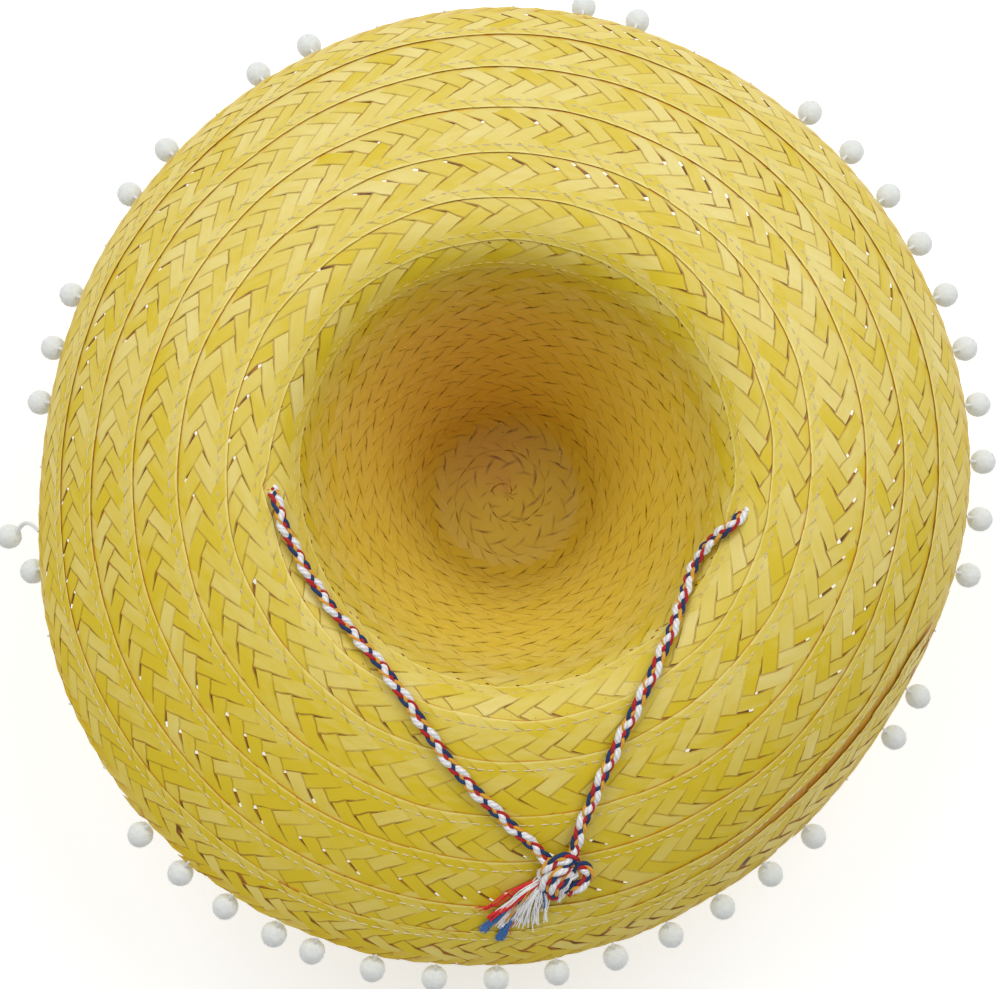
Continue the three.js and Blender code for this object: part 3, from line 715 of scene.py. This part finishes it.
        # Painted sheen: paler towards the lamps, more golden away from them
        painted_sheen_shift = self.straw.painted_sheen * np.cos(self.bearing - AWAY_FROM_LAMPS_BEARING)
        painted_sheen_shift = painted_sheen_shift * np.interp(self.slant, SHEEN_SLANTS, SHEEN_SHARES)
        still = self.pushed[0] == self.slant
        past_lip = self.slant - row_edge(np.minimum(self.turn + 1, 0))
        no_lip = (self.turn > -1) | ~upper | self.on_crown
        return {
            "tint": MEAN_TINT + TINT_RANGE * (self.tint - 0.5) * (1 - hem / 2) + painted_sheen_shift,
            "edge": self.lines(),
            # Painted shade, with staining, in slits, in the open gap and in the rim's notches
            "under": -self.level * SECTION_FACES * still * (self.column > UNDER_COLUMN),
            "rust": brown_gap(self.turn) * upper,
            "notch": self.notch * upper,
            # A painted highlight where strips fold
            "fold": np.interp(self.column, FOLD_HIGHLIGHT_COLUMNS, FALLING) * np.where(self.on_crown, CROWN_FOLD_HIGHLIGHT, 1),
            "lip": np.where(no_lip, NO_LIP, past_lip),
            # Painted shade inside the crown, on the wall that faces away from the lamps, and over its top
            "inside": np.interp(self.slant, INSIDE_SLANTS, FALLING) * upper,
            "warm": (0.5 + 0.5 * np.cos(self.bearing - SHADED_WALL_BEARING)) ** SHADED_WALL_POWER,
            "top": np.interp(self.slant, TOP_SLANTS, FALLING) * upper,
        }


def plait_piece(name, straw, on_brim):
    """The woven plait of the crown or of the brim, as one piece."""
    turns, beats = plait_beats(straw)
    half = STRANDS / 2
    strips = []
    for family in (1, -1):
        first = 0 if family > 0 else math.ceil(half)
        last = beats[-1] - (half if family > 0 else 0)
        numbers = np.arange(first, int(last))
        middle = np.interp(numbers + family * half / 2, beats, turns)
        mine = (row_edge(middle) + straw.plait_width / 2 > WALL_END) == on_brim
        strips.append(Strips(straw, family, numbers[mine], turns, beats))
    rings = np.concatenate([part.rings() for part in strips])
    lengths = np.concatenate([part.lengths() for part in strips])
    leaning, other = (part.marks() for part in strips)
    marks = {mark: np.concatenate([leaning[mark], other[mark]]) for mark in leaning}
    return tubes_mesh(name, rings, lengths, [straw_finish(straw)], around=SECTION_ACROSS, marks=marks)


def stitches_piece(straw):
    """The sewing thread: one row of stitches along each lap, seen on both faces."""
    turns, _ = plait_beats(straw)
    radius = hat_section(row_edge(turns), bearing_of(turns))[0]
    run = np.cumsum(math.tau * radius * (turns[1] - turns[0]))
    random = np.random.default_rng(THREAD_SEED)
    starts = np.arange(SEAM_START, run[-1] - SEAM_END, straw.stitch)
    starts = starts + random.uniform(0, STITCH_SHIFT * straw.stitch, len(starts))
    reach = straw.stitch * random.uniform(*STITCH_REACHES, (len(starts), 1))
    along = starts[:, None] + reach * STITCH_PLACES
    turn = np.interp(along, run, turns)
    edge = row_edge(turn)
    scatter = random.normal(0, SEAM_SCATTER, (len(starts), 1))
    seam = edge + (SEAM_INSET + SEAM_WAVE * np.sin(SEAM_WAVE_RATE * turn) + scatter)
    inside = np.interp(edge, SEAM_INSIDE_SLANTS, FALLING)[:, :, None]
    thick = THREAD_RADIUS - THINNER_INSIDE * inside
    angle = math.tau * np.arange(THREAD_SIDES) / THREAD_SIDES
    top = row_relief(edge, straw) + SECTION_HEIGHTS.max() * straw.thickness
    tubes = []
    for face, share in SEAM_LAPS:
        level = row_lap(edge, straw) * share + top + face * PLAIT_LIFT
        lift = face * (level + STITCH_DIPS)[:, :, None] + thick * np.cos(angle)
        lift = lift + end_lift(turn, SEAM_SHARE, straw)[:, :, None] * (face > 0)
        slant = seam[:, :, None] + thick * np.sin(angle)
        bearing = np.broadcast_to(bearing_of(turn)[:, :, None], slant.shape)
        tubes.append(hat_point(*pushed_aside(slant, bearing), lift))
    lengths = np.tile(along, (2, 1))
    marks = {"inside": np.concatenate([inside, 0 * inside])}
    return tubes_mesh("sewing_thread", np.concatenate(tubes), lengths, [thread_finish(straw)], marks=marks)


def on_brim(place):
    """Point and face direction at a place given as distance past the crown's wall, bearing and lift."""
    along, bearing, lift = np.asarray(place, float).T
    slant, bearing = WALL_END + along / PER_METRE, np.radians(bearing)
    return hat_point(slant, bearing, lift / PER_METRE), hat_face(slant, bearing)


def unit(vectors):
    """Vectors of length one."""
    return vectors / np.maximum(np.linalg.norm(vectors, axis=-1, keepdims=True), NEAREST)


def run_along(line):
    """Length of a line up to each of its points."""
    return np.concatenate([[0], np.cumsum(np.linalg.norm(np.diff(line, axis=0), axis=1))])


def bowed(first, middle, last, steps):
    """Points on a curve from first to last that bows towards middle."""
    return (1 - steps) ** 2 * first + 2 * steps * (1 - steps) * middle + steps**2 * last


def smooth_route(points, faces):
    """Even steps along a smooth curve through points, with the face directions carried along it."""
    chords = np.linalg.norm(np.diff(points, axis=0), axis=1)
    knots = np.concatenate([[0], np.cumsum(np.sqrt(chords))])
    rows = np.hstack([points, faces])
    slopes = np.gradient(rows, knots, axis=0)
    place = np.linspace(0, knots[-1], ROUTE_STEPS * len(points))
    i = np.clip(np.searchsorted(knots, place, side="right") - 1, 0, len(knots) - 2)
    gap = (knots[i + 1] - knots[i])[:, None]
    t = (place - knots[i])[:, None] / gap
    curve = (
        (1 + 2 * t) * (1 - t) ** 2 * rows[i]
        + t * (1 - t) ** 2 * gap * slopes[i]
        + t * t * (3 - 2 * t) * rows[i + 1]
        + t * t * (t - 1) * gap * slopes[i + 1]
    )
    run = run_along(curve[:, :3])
    even = np.linspace(0, run[-1], max(2, round(run[-1] / BRAID_STEP)))
    rows = np.stack([np.interp(even, run, column) for column in curve.T], axis=1)
    return rows[:, :3], unit(rows[:, 3:])


def rings_round(line, radius, across, sides):
    """Rings of a tube round a line, of one radius or of one a ring. across points to its first side."""
    ahead = unit(np.gradient(line, axis=0))
    first = unit(across - np.sum(across * ahead, axis=1, keepdims=True) * ahead)
    second = np.cross(ahead, first)
    angle = (math.tau * np.arange(sides) / sides)[None, :, None]
    radius = np.broadcast_to(radius, len(line))[:, None, None]
    return line[:, None] + radius * (first[:, None] * np.cos(angle) + second[:, None] * np.sin(angle))


def braided(line, faces, cord, start=0.0, stretch=1.0):
    """Rings of the four strands of the braid along a line: navy, red, white and gold."""
    ahead = unit(np.gradient(line, axis=0))
    across = unit(np.cross(faces, ahead))
    off = np.cross(ahead, across)
    run = run_along(line)
    swing, rise = BRAID_SWING * cord.diameter, BRAID_RISE * cord.diameter
    strands = []
    for strand, thick in enumerate(STRAND_RADII):
        phase = math.tau * ((run + start) / (cord.repeat * stretch) + strand / len(STRAND_RADII))
        middle = line + swing * np.cos(phase)[:, None] * across - rise * np.sin(3 * phase)[:, None] * off
        strands.append(rings_round(middle, thick * cord.diameter, across, STRAND_SIDES))
    return np.stack(strands), np.tile(run, (len(strands), 1))


def braid_piece(name, rows, cord, **lie):
    """A stretch of the braided cord along its route, with its line and its length."""
    line, faces = smooth_route(*on_brim(rows))
    rings, lengths = braided(line, faces, cord, **lie)
    piece = tubes_mesh(name, rings, lengths, yarn_finishes(cord), np.arange(len(rings)))
    return piece, line, float(lengths[0, -1])


def tassel_piece(cord):
    """The frayed ends below the knot: locks of loose yarn fanned out over the brim."""
    random = np.random.default_rng(TASSEL_SEED)
    steps = np.linspace(0, 1, YARN_POINTS)[:, None]
    tubes = []
    for _, count, start, bow, end, spread, radius in TASSEL:
        (head, turn, tip), (_, _, face) = on_brim([start, bow, end])
        ahead = unit(tip - turn)
        aside = np.cross(face, ahead)
        for _ in range(count):
            out, wide = random.normal(0, spread) / PER_METRE
            first = head + random.normal(0, YARN_SCATTER, 3)
            middle = turn + YARN_BEND * wide * aside + random.normal(0, YARN_SCATTER, 3)
            last = tip + out * ahead + wide * aside + abs(random.normal(0, YARN_LIFT)) * face
            line = bowed(first, middle, last, steps)
            wave = random.normal(0, YARN_WAVE)
            rate = random.uniform(*YARN_WAVE_RATES)
            wave = wave * np.sin(rate * steps + random.uniform(0, YARN_WAVE_START))
            line = line + wave * steps * aside
            across = np.broadcast_to(face, line.shape)
            tubes.append(rings_round(line, radius / PER_METRE, across, YARN_SIDES))
    lengths = np.tile(np.linspace(0, YARN_LENGTH, YARN_POINTS), (len(tubes), 1))
    strand_of_yarn = np.repeat([lock[0] for lock in TASSEL], [lock[1] for lock in TASSEL])
    finishes = yarn_finishes(cord, frayed=True)
    return tubes_mesh("chin_cord_tassel", np.stack(tubes), lengths, finishes, strand_of_yarn)


def pompom_places():
    """Name, rim point, hanging direction, thread length and bearing of each pompom."""
    number = 0
    for first, last, count, hang, thread in POMPOM_RUNS:
        slope = math.radians(hang)
        for bearing in np.radians(np.linspace(first, last, count)):
            number += 1
            rim = Vector(hat_point(RIM, bearing, RIM_LIFT))
            out = math.cos(slope)
            down = Vector((out * math.cos(bearing), out * math.sin(bearing), -math.sin(slope)))
            yield f"pompom_{number:02d}", rim, down, thread / PER_METRE, bearing


def pompom_model(wool):
    """One ball of wool at the origin, with its locks and loose hairs, to be copied."""
    bpy.ops.object.select_all(action="DESELECT")
    bpy.ops.mesh.primitive_ico_sphere_add(subdivisions=4, radius=wool.radius)
    ball = bpy.context.object
    bpy.ops.object.mode_set(mode="EDIT")
    bpy.ops.mesh.select_all(action="SELECT")
    bpy.ops.transform.vertex_random(offset=BALL_LUMPS, uniform=0, normal=1, seed=BALL_SEED)
    bpy.ops.mesh.vertices_smooth(factor=0.5, repeat=2)
    bpy.ops.object.mode_set(mode="OBJECT")
    ball.data.materials.append(wool_finish(wool))
    random = np.random.default_rng(BALL_SEED)
    out = unit(random.normal(size=(HAIRS, 3)))
    aside = unit(np.cross(out, random.normal(size=out.shape)))
    reach = wool.fuzz * random.uniform(*HAIR_REACHES, (HAIRS, 1))
    root = out * (wool.radius - HAIR_ROOT)
    tip = out * (wool.radius + HAIR_STAND * reach) + aside * reach
    hairs = np.stack([root, (root + tip) / 2 + out * reach * HAIR_ARCH, tip], axis=1)
    rings = np.stack([
        rings_round(hair, HAIR_RADII, np.broadcast_to(side, hair.shape), HAIR_SIDES)
        for hair, side in zip(hairs, aside)
    ])
    lengths = np.tile(HAIR_LENGTHS, (HAIRS, 1))
    join(ball, tubes_mesh("hairs", rings, lengths, [wool_finish(wool)]))
    return ball


def pompom_piece(model, wool, name, rim, down, thread, bearing):
    """A copy of the ball, hung at its place on a thread from the rim."""
    centre = rim + down * (thread + wool.radius + BALL_GAP)
    turn = down.to_track_quat("Z", "Y").to_matrix().to_4x4() @ Matrix.Rotation(BALL_SPIN * bearing, 4, "Z")
    ball = model.copy()
    ball.data = model.data.copy()
    ball.name = f"wool_{name}"
    bpy.context.collection.objects.link(ball)
    ball.data.transform(Matrix.Translation(centre) @ turn)
    start = np.array(rim - down * STEM_ROOT)
    end = np.array(centre - down * wool.radius * STEM_TIP)
    bow = (start + end) / 2
    radius = wool.thread
    if thread > LONG_THREAD:
        bow = bow + LONG_BOW * np.array([math.sin(bearing), -math.cos(bearing), LONG_BOW_UP])
        radius = LONG_THICKNESS * wool.thread
    line = bowed(start, bow, end, np.linspace(0, 1, STEM_POINTS)[:, None])
    across = np.broadcast_to(STEM_ACROSS, line.shape)
    rings = rings_round(line, radius, across, STEM_SIDES)[None]
    lengths = np.linspace(0, thread, STEM_POINTS)[None]
    join(ball, tubes_mesh("stem", rings, lengths, [wool_finish(wool)]))
    return ball


class Finish:
    """A node material under way: its tree, its shader and short ways to add nodes."""

    def __init__(self, name, colour, **settings):
        self.material = bpy.data.materials.new(name)
        self.material.use_nodes = True
        self.material.diffuse_color = (*colour, 1)
        self.tree = self.material.node_tree
        self.shader = self.tree.nodes["Principled BSDF"]
        self.shader.inputs["Base Color"].default_value = (*colour, 1)
        for socket, value in settings.items():
            self.shader.inputs[socket.replace("_", " ").title()].default_value = value

    def set(self, socket, value):
        """Links a node's output to an input, or gives the input a plain value."""
        if isinstance(value, bpy.types.NodeSocket):
            self.tree.links.new(value, socket)
        elif isinstance(value, (tuple, list)) or hasattr(value, "hsv"):
            plain = tuple(value)
            socket.default_value = plain + (1,) * (len(socket.default_value) - len(plain))
        else:
            socket.default_value = value

    def node(self, kind, output=0, options=None, **inputs):
        """Adds a node, with inputs by name, or by number as i0, i1 and so on. Gives one of its outputs."""
        node = self.tree.nodes.new(f"ShaderNode{kind}")
        for option, value in (options or {}).items():
            setattr(node, option, value)
        for key, value in inputs.items():
            numbered = key[0] == "i" and key[1:].isdigit()
            self.set(node.inputs[int(key[1:]) if numbered else key], value)
        return node.outputs[output]

    def math(self, operation, *values, clamp=False):
        """A sum, product or the like of values."""
        options = {"operation": operation, "use_clamp": clamp}
        return self.node("Math", options=options, **{f"i{k}": value for k, value in enumerate(values)})

    def times(self, first, second):
        """The product of two values."""
        return self.math("MULTIPLY", first, second)

    def mix(self, share, first, second, blend="MIX"):
        """A colour that goes from the first to the second as share rises."""
        options = {"data_type": "RGBA", "blend_type": blend}
        return self.node("Mix", 2, options, i0=share, i6=first, i7=second)

    def ramp(self, value, low, high, start=0.0, end=1.0):
        """A value as start at low, going to end at high."""
        return self.node("MapRange", Value=value, i1=low, i2=high, i3=start, i4=end)

    def mark(self, name):
        """What the mesh holds under a name at each point."""
        return self.node("Attribute", "Fac", {"attribute_name": name})

    def place_on_grain(self):
        """Places along and across a strip or a strand."""
        grain = self.node("UVMap", options={"uv_map": "grain"})
        parts = self.tree.nodes.new("ShaderNodeSeparateXYZ")
        self.tree.links.new(grain, parts.inputs[0])
        return parts.outputs[0], parts.outputs[1]

    def vector(self, x, y, z):
        """A vector of three values."""
        return self.node("CombineXYZ", X=x, Y=y, Z=z)

    def noise(self, vector, scale=1.0, detail=2.0):
        """Soft noise, from 0 to 1."""
        return self.node("TexNoise", Vector=vector, Scale=scale, Detail=detail)

    def colour(self, value):
        """Gives the shader its colour."""
        self.set(self.shader.inputs["Base Color"], value)

    def bump(self, height, strength, distance):
        """Roughens the surface by a height."""
        bump = self.node("Bump", Strength=strength, Distance=distance, Height=height)
        self.set(self.shader.inputs["Normal"], bump)


def finished(name):
    """A finish that was made before, or nothing."""
    return bpy.data.materials.get(name)


def straw_finish(straw):
    """Satin straw: each strip has its own tint and fine grain along it, with painted shade and some staining
    along edges and in creases, and painted sheen, highlights and shade where light falls.
    """
    if finished("straw"):
        return finished("straw")
    f = Finish("straw", straw.pale, roughness=0.46)
    f.shader.inputs["Specular IOR Level"].default_value = 0.45
    tint, inside, lip = f.mark("tint"), f.mark("inside"), f.mark("lip")
    along, across = f.place_on_grain()
    shift = f.times(tint, GRAIN_SHIFT)
    streak_place = f.vector(f.times(along, STREAKS_ALONG), f.times(across, STREAKS_ACROSS), shift)
    streaks = f.noise(streak_place, detail=3.0)
    clouds = f.noise(f.vector(f.times(along, CLOUDS_ALONG), across, shift))
    patchy = f.ramp(clouds, 0.3, 0.62)
    # The strip's own tint, clouded, then painted shade inside the crown, most on the wall that faces away
    # from the lamps and over the crown's top, then streaked, and a painted highlight at folds
    clouded = f.math("ADD", tint, f.ramp(clouds, 0.3, 0.7, -0.16, 0.16), clamp=True)
    colour = f.mix(clouded, straw.pale, straw.golden)
    painted_shade = f.mix(f.mark("warm"), straw.inside, straw.tan)
    colour = f.mix(f.times(inside, 0.75), colour, painted_shade)
    colour = f.mix(f.mark("top"), colour, straw.top, "MULTIPLY")
    colour = f.mix(f.times(f.ramp(streaks, 0.3, 0.7), 0.1), colour, straw.golden, "MULTIPLY")
    colour = f.mix(f.times(f.ramp(f.mark("fold"), 0.55, 0.9), 0.45), colour, straw.fold)
    # Painted shade, with staining, where the last row stands open, and in the rim's notches
    gap = f.times(f.mark("rust"), f.ramp(lip, -0.0054, -0.004))
    gap_shade_and_stain = f.math("MAXIMUM", gap, f.times(f.mark("notch"), 0.8))
    colour = f.mix(f.times(gap_shade_and_stain, f.ramp(streaks, 0.0, 0.55)), colour, straw.crease_shade_and_stain)
    # Painted shade under the edge of the row above, and a painted shade line along the strip's forward edge
    under_lip = f.times(f.ramp(lip, -0.001, -0.0003), f.ramp(patchy, 0.0, 1.0, 0.25, 0.85))
    colour = f.mix(under_lip, colour, straw.rust)
    painted_edge_shade = f.times(f.mark("edge"), f.ramp(patchy, 0.0, 1.0, 0.6, 1.0))
    to_edge = f.math("ADD", across, f.times(inside, 0.05))
    edge_line = f.times(f.ramp(to_edge, 0.875, 0.905), painted_edge_shade)
    colour = f.mix(f.times(edge_line, 0.9), colour, f.mix(inside, straw.line, straw.crown_line))
    # Painted shade, with staining, where a strip lies under others and shows in a slit
    slit = f.mix(f.math("MAXIMUM", inside, patchy), straw.crease_shade_and_stain, straw.deep_crease_shade_and_stain)
    f.colour(f.mix(f.ramp(f.mark("under"), 0.5, 0.85), colour, slit))
    f.set(f.shader.inputs["Roughness"], f.ramp(streaks, 0.2, 0.8, 0.4, 0.58))
    f.bump(streaks, 0.2, 0.0002)
    return f.material


def thread_finish(straw):
    """Pale sewing thread with a painted highlight on its twist, and painted golden shade inside the crown.
    """
    f = Finish("sewing_thread", straw.thread, roughness=0.8)
    along, _ = f.place_on_grain()
    twist = f.math("SINE", f.times(along, THREAD_TWIST))
    # A painted highlight on the twist, and painted shade inside the crown
    colour = f.mix(f.ramp(twist, -1.0, 1.4), straw.thread, straw.thread_light)
    f.colour(f.mix(f.mark("inside"), colour, straw.thread_inside))
    f.bump(twist, 0.4, 0.0001)
    return f.material


def wool_finish(wool):
    """White wool felted into soft locks, with painted shade between them."""
    if finished("wool"):
        return finished("wool")
    f = Finish("wool", wool.white, roughness=1.0, sheen_weight=0.35, sheen_roughness=0.6)
    place = f.node("TexCoord", "Object")
    locks = f.noise(place, WOOL_LOCKS, 3.0)
    fibres = f.noise(place, WOOL_FIBRES)
    # Painted shade between the locks
    light = f.math("ADD", f.times(f.ramp(locks, 0.3, 0.7), 0.6), f.times(fibres, 0.4), clamp=True)
    f.colour(f.mix(light, wool.shade, wool.white))
    f.bump(f.math("ADD", locks, f.times(fibres, 0.5)), 0.35, 0.0004)
    return f.material


def yarn_finishes(cord, frayed=False):
    """The braid's four yarns in the order of its strands, or the same yarns combed out."""
    prefix, depth = ("frayed_", 0.9) if frayed else ("", 0.7)
    names = [prefix + name for name in ("navy", "red", "white")] + ["gold"]
    return [yarn_finish(f"{name}_yarn", getattr(cord, name), depth) for name in names]


def yarn_finish(name, colour, depth):
    """Spun yarn: its twist runs round it, with painted shade between the turns."""
    if finished(name):
        return finished(name)
    f = Finish(name, colour, roughness=0.85, sheen_weight=0.03)
    along, around = f.place_on_grain()
    turn = f.math("ADD", f.times(along, YARN_TWIST), f.times(around, YARN_PLIES * math.tau))
    twist = f.math("SINE", turn)
    fibre = f.noise(f.vector(f.times(along, FIBRES_ALONG), f.times(around, FIBRES_ACROSS), 0.0))
    # Painted shade in the grooves between the turns
    groove = f.times(f.ramp(twist, -1.0, 0.2), f.ramp(fibre, 0.1, 0.6))
    dark = tuple(depth * part for part in colour)
    f.colour(f.mix(groove, dark, colour))
    f.bump(f.math("ADD", twist, fibre), 0.35, 0.00025)
    return f.material


class SOMBRERO_OT_place_camera(bpy.types.Operator):
    """Places the camera above the brim, a little to its near side"""

    bl_idname = "sombrero.place_camera"
    bl_label = "Place camera"

    def execute(self, context):
        studio = context.scene.sombrero_studio
        lean = math.pi / 2 - studio.elevation
        back = Vector((0, -math.sin(lean), math.cos(lean)))
        up = Vector((0, math.cos(lean), math.sin(lean)))
        place = Vector((0, 0, CROWN_HEIGHT)) + studio.distance * back
        place = place - CAMERA_DOWN * up - Vector((CAMERA_LEFT, 0, 0))
        bpy.ops.object.camera_add(location=place, rotation=(lean, 0, 0))
        camera = context.object
        camera.name = "camera"
        camera.data.lens = studio.lens
        camera.data.sensor_width = SENSOR_WIDTH
        camera.data.sensor_fit = "HORIZONTAL"
        context.scene.camera = camera
        return {"FINISHED"}


class SOMBRERO_OT_braid_cord(bpy.types.Operator):
    """Braids the chin cord, ties its knot and frays its ends"""

    bl_idname = "sombrero.braid_cord"
    bl_label = "Braid chin cord"

    def execute(self, context):
        cord = context.scene.sombrero_cord
        # The knot: three wraps of the braid side by side and a short bight, on the brim
        knot = braid_piece("chin_cord_knot", KNOT, cord, stretch=KNOT_STRETCH)[0]
        settle(knot, "braided_cord", "cord_knot")
        tassel = tassel_piece(cord)
        settle(tassel, "braided_cord", "cord_tassel")
        # Each stretch's piece, CAD node, route, start in the braid's repeat, end, lay and what it carries
        stretches = (
            ("braid_left", "chin_cord_left", LEFT_CORD, 0.004, "knot", "loose", [knot, tassel]),
            ("braid_right", "chin_cord_right", RIGHT_CORD, 0.010, "knot", "loose", [knot]),
            ("braid_round_crown", "cord_round_crown", HIDDEN_CORD, 0.0, "object", "taut", []),
        )
        for name, node, rows, start, far_end, lay, carried in stretches:
            piece, line, length = braid_piece(name, rows, cord, start=start)
            settle(piece, "braided_cord", node)
        return {"FINISHED"}


class SOMBRERO_OT_weave_crown(bpy.types.Operator):
    """Weaves the crown's rows of straw plait"""

    bl_idname = "sombrero.weave_crown"
    bl_label = "Weave crown"

    def execute(self, context):
        settle(plait_piece("crown_plait", context.scene.sombrero_straw, False), "straw_plait", "crown")
        return {"FINISHED"}


class SOMBRERO_OT_weave_brim(bpy.types.Operator):
    """Weaves the flare's and the brim's rows of straw plait"""

    bl_idname = "sombrero.weave_brim"
    bl_label = "Weave brim"

    def execute(self, context):
        settle(plait_piece("brim_plait", context.scene.sombrero_straw, True), "straw_plait", "brim")
        return {"FINISHED"}


class SOMBRERO_OT_sew_rows(bpy.types.Operator):
    """Sews the rows of plait together"""

    bl_idname = "sombrero.sew_rows"
    bl_label = "Sew rows"

    def execute(self, context):
        settle(stitches_piece(context.scene.sombrero_straw), "straw_plait")
        return {"FINISHED"}


class SOMBRERO_OT_hang_pompoms(bpy.types.Operator):
    """Hangs the wool pompoms round the rim"""

    bl_idname = "sombrero.hang_pompoms"
    bl_label = "Hang pompoms"

    def execute(self, context):
        wool = context.scene.sombrero_wool
        model = pompom_model(wool)
        for place in pompom_places():
            settle(pompom_piece(model, wool, *place), "white_wool", place[0])
        bpy.data.objects.remove(model)
        return {"FINISHED"}


class SOMBRERO_OT_set_stage(bpy.types.Operator):
    """Lays a plain pale floor and sets soft studio light"""

    bl_idname = "sombrero.set_stage"
    bl_label = "Set stage"

    def execute(self, context):
        studio = context.scene.sombrero_studio
        bpy.ops.object.select_all(action="DESELECT")
        bpy.ops.mesh.primitive_plane_add(size=FLOOR_SIZE)
        floor = context.object
        floor.name = "floor"
        finish = Finish("floor", studio.floor, roughness=0.9, emission_strength=studio.glow)
        finish.shader.inputs["Emission Color"].default_value = (1, 1, 1, 1)
        floor.data.materials.append(finish.material)
        for name, place, share in LIGHTS:
            aim = (LIGHT_AIM - Vector(place)).to_track_quat("-Z", "Y").to_euler()
            bpy.ops.object.light_add(type="AREA", location=place, rotation=aim)
            light = context.object
            light.name = name
            light.data.energy = studio.key * share
            light.data.size = LIGHT_SIZE
        world = bpy.data.worlds.new("studio")
        world.use_nodes = True
        background = world.node_tree.nodes["Background"]
        background.inputs["Color"].default_value = (1, 1, 1, 1)
        background.inputs["Strength"].default_value = studio.ambient
        context.scene.world = world
        context.scene.view_settings.view_transform = "Standard"
        return {"FINISHED"}


OPERATORS = (
    SOMBRERO_OT_place_camera,
    SOMBRERO_OT_braid_cord,
    SOMBRERO_OT_weave_crown,
    SOMBRERO_OT_weave_brim,
    SOMBRERO_OT_sew_rows,
    SOMBRERO_OT_hang_pompoms,
    SOMBRERO_OT_set_stage,
)
SETTINGS = {
    "sombrero_straw": StrawSettings,
    "sombrero_wool": WoolSettings,
    "sombrero_cord": CordSettings,
    "sombrero_studio": StudioSettings,
}


class SOMBRERO_PT_panel(bpy.types.Panel):
    """Sizes, colours and steps of the sombrero"""

    bl_idname = "SOMBRERO_PT_panel"
    bl_label = "Sombrero"
    bl_space_type = "VIEW_3D"
    bl_region_type = "UI"
    bl_category = "Sombrero"

    def draw(self, context):
        for name, group in SETTINGS.items():
            box = self.layout.box()
            box.label(text=group.__doc__)
            for setting in group.__annotations__:
                box.prop(getattr(context.scene, name), setting)
        for operator in OPERATORS:
            self.layout.operator(operator.bl_idname)


def register():
    """Adds the settings, the operators and the panel to Blender."""
    for group in (*SETTINGS.values(), *OPERATORS, SOMBRERO_PT_panel):
        bpy.utils.register_class(group)
    for name, group in SETTINGS.items():
        setattr(bpy.types.Scene, name, PointerProperty(type=group))


def unregister():
    """Takes the settings, the operators and the panel out of Blender."""
    for name in SETTINGS:
        delattr(bpy.types.Scene, name)
    for group in (SOMBRERO_PT_panel, *OPERATORS, *SETTINGS.values()):
        bpy.utils.unregister_class(group)


def main():
    """Makes the sombrero step by step."""
    register()
    bpy.ops.sombrero.place_camera()
    bpy.ops.sombrero.braid_cord()
    bpy.ops.sombrero.weave_crown()
    bpy.ops.sombrero.weave_brim()
    bpy.ops.sombrero.sew_rows()
    bpy.ops.sombrero.hang_pompoms()
    bpy.ops.sombrero.set_stage()


if __name__ == "__main__":
    main()
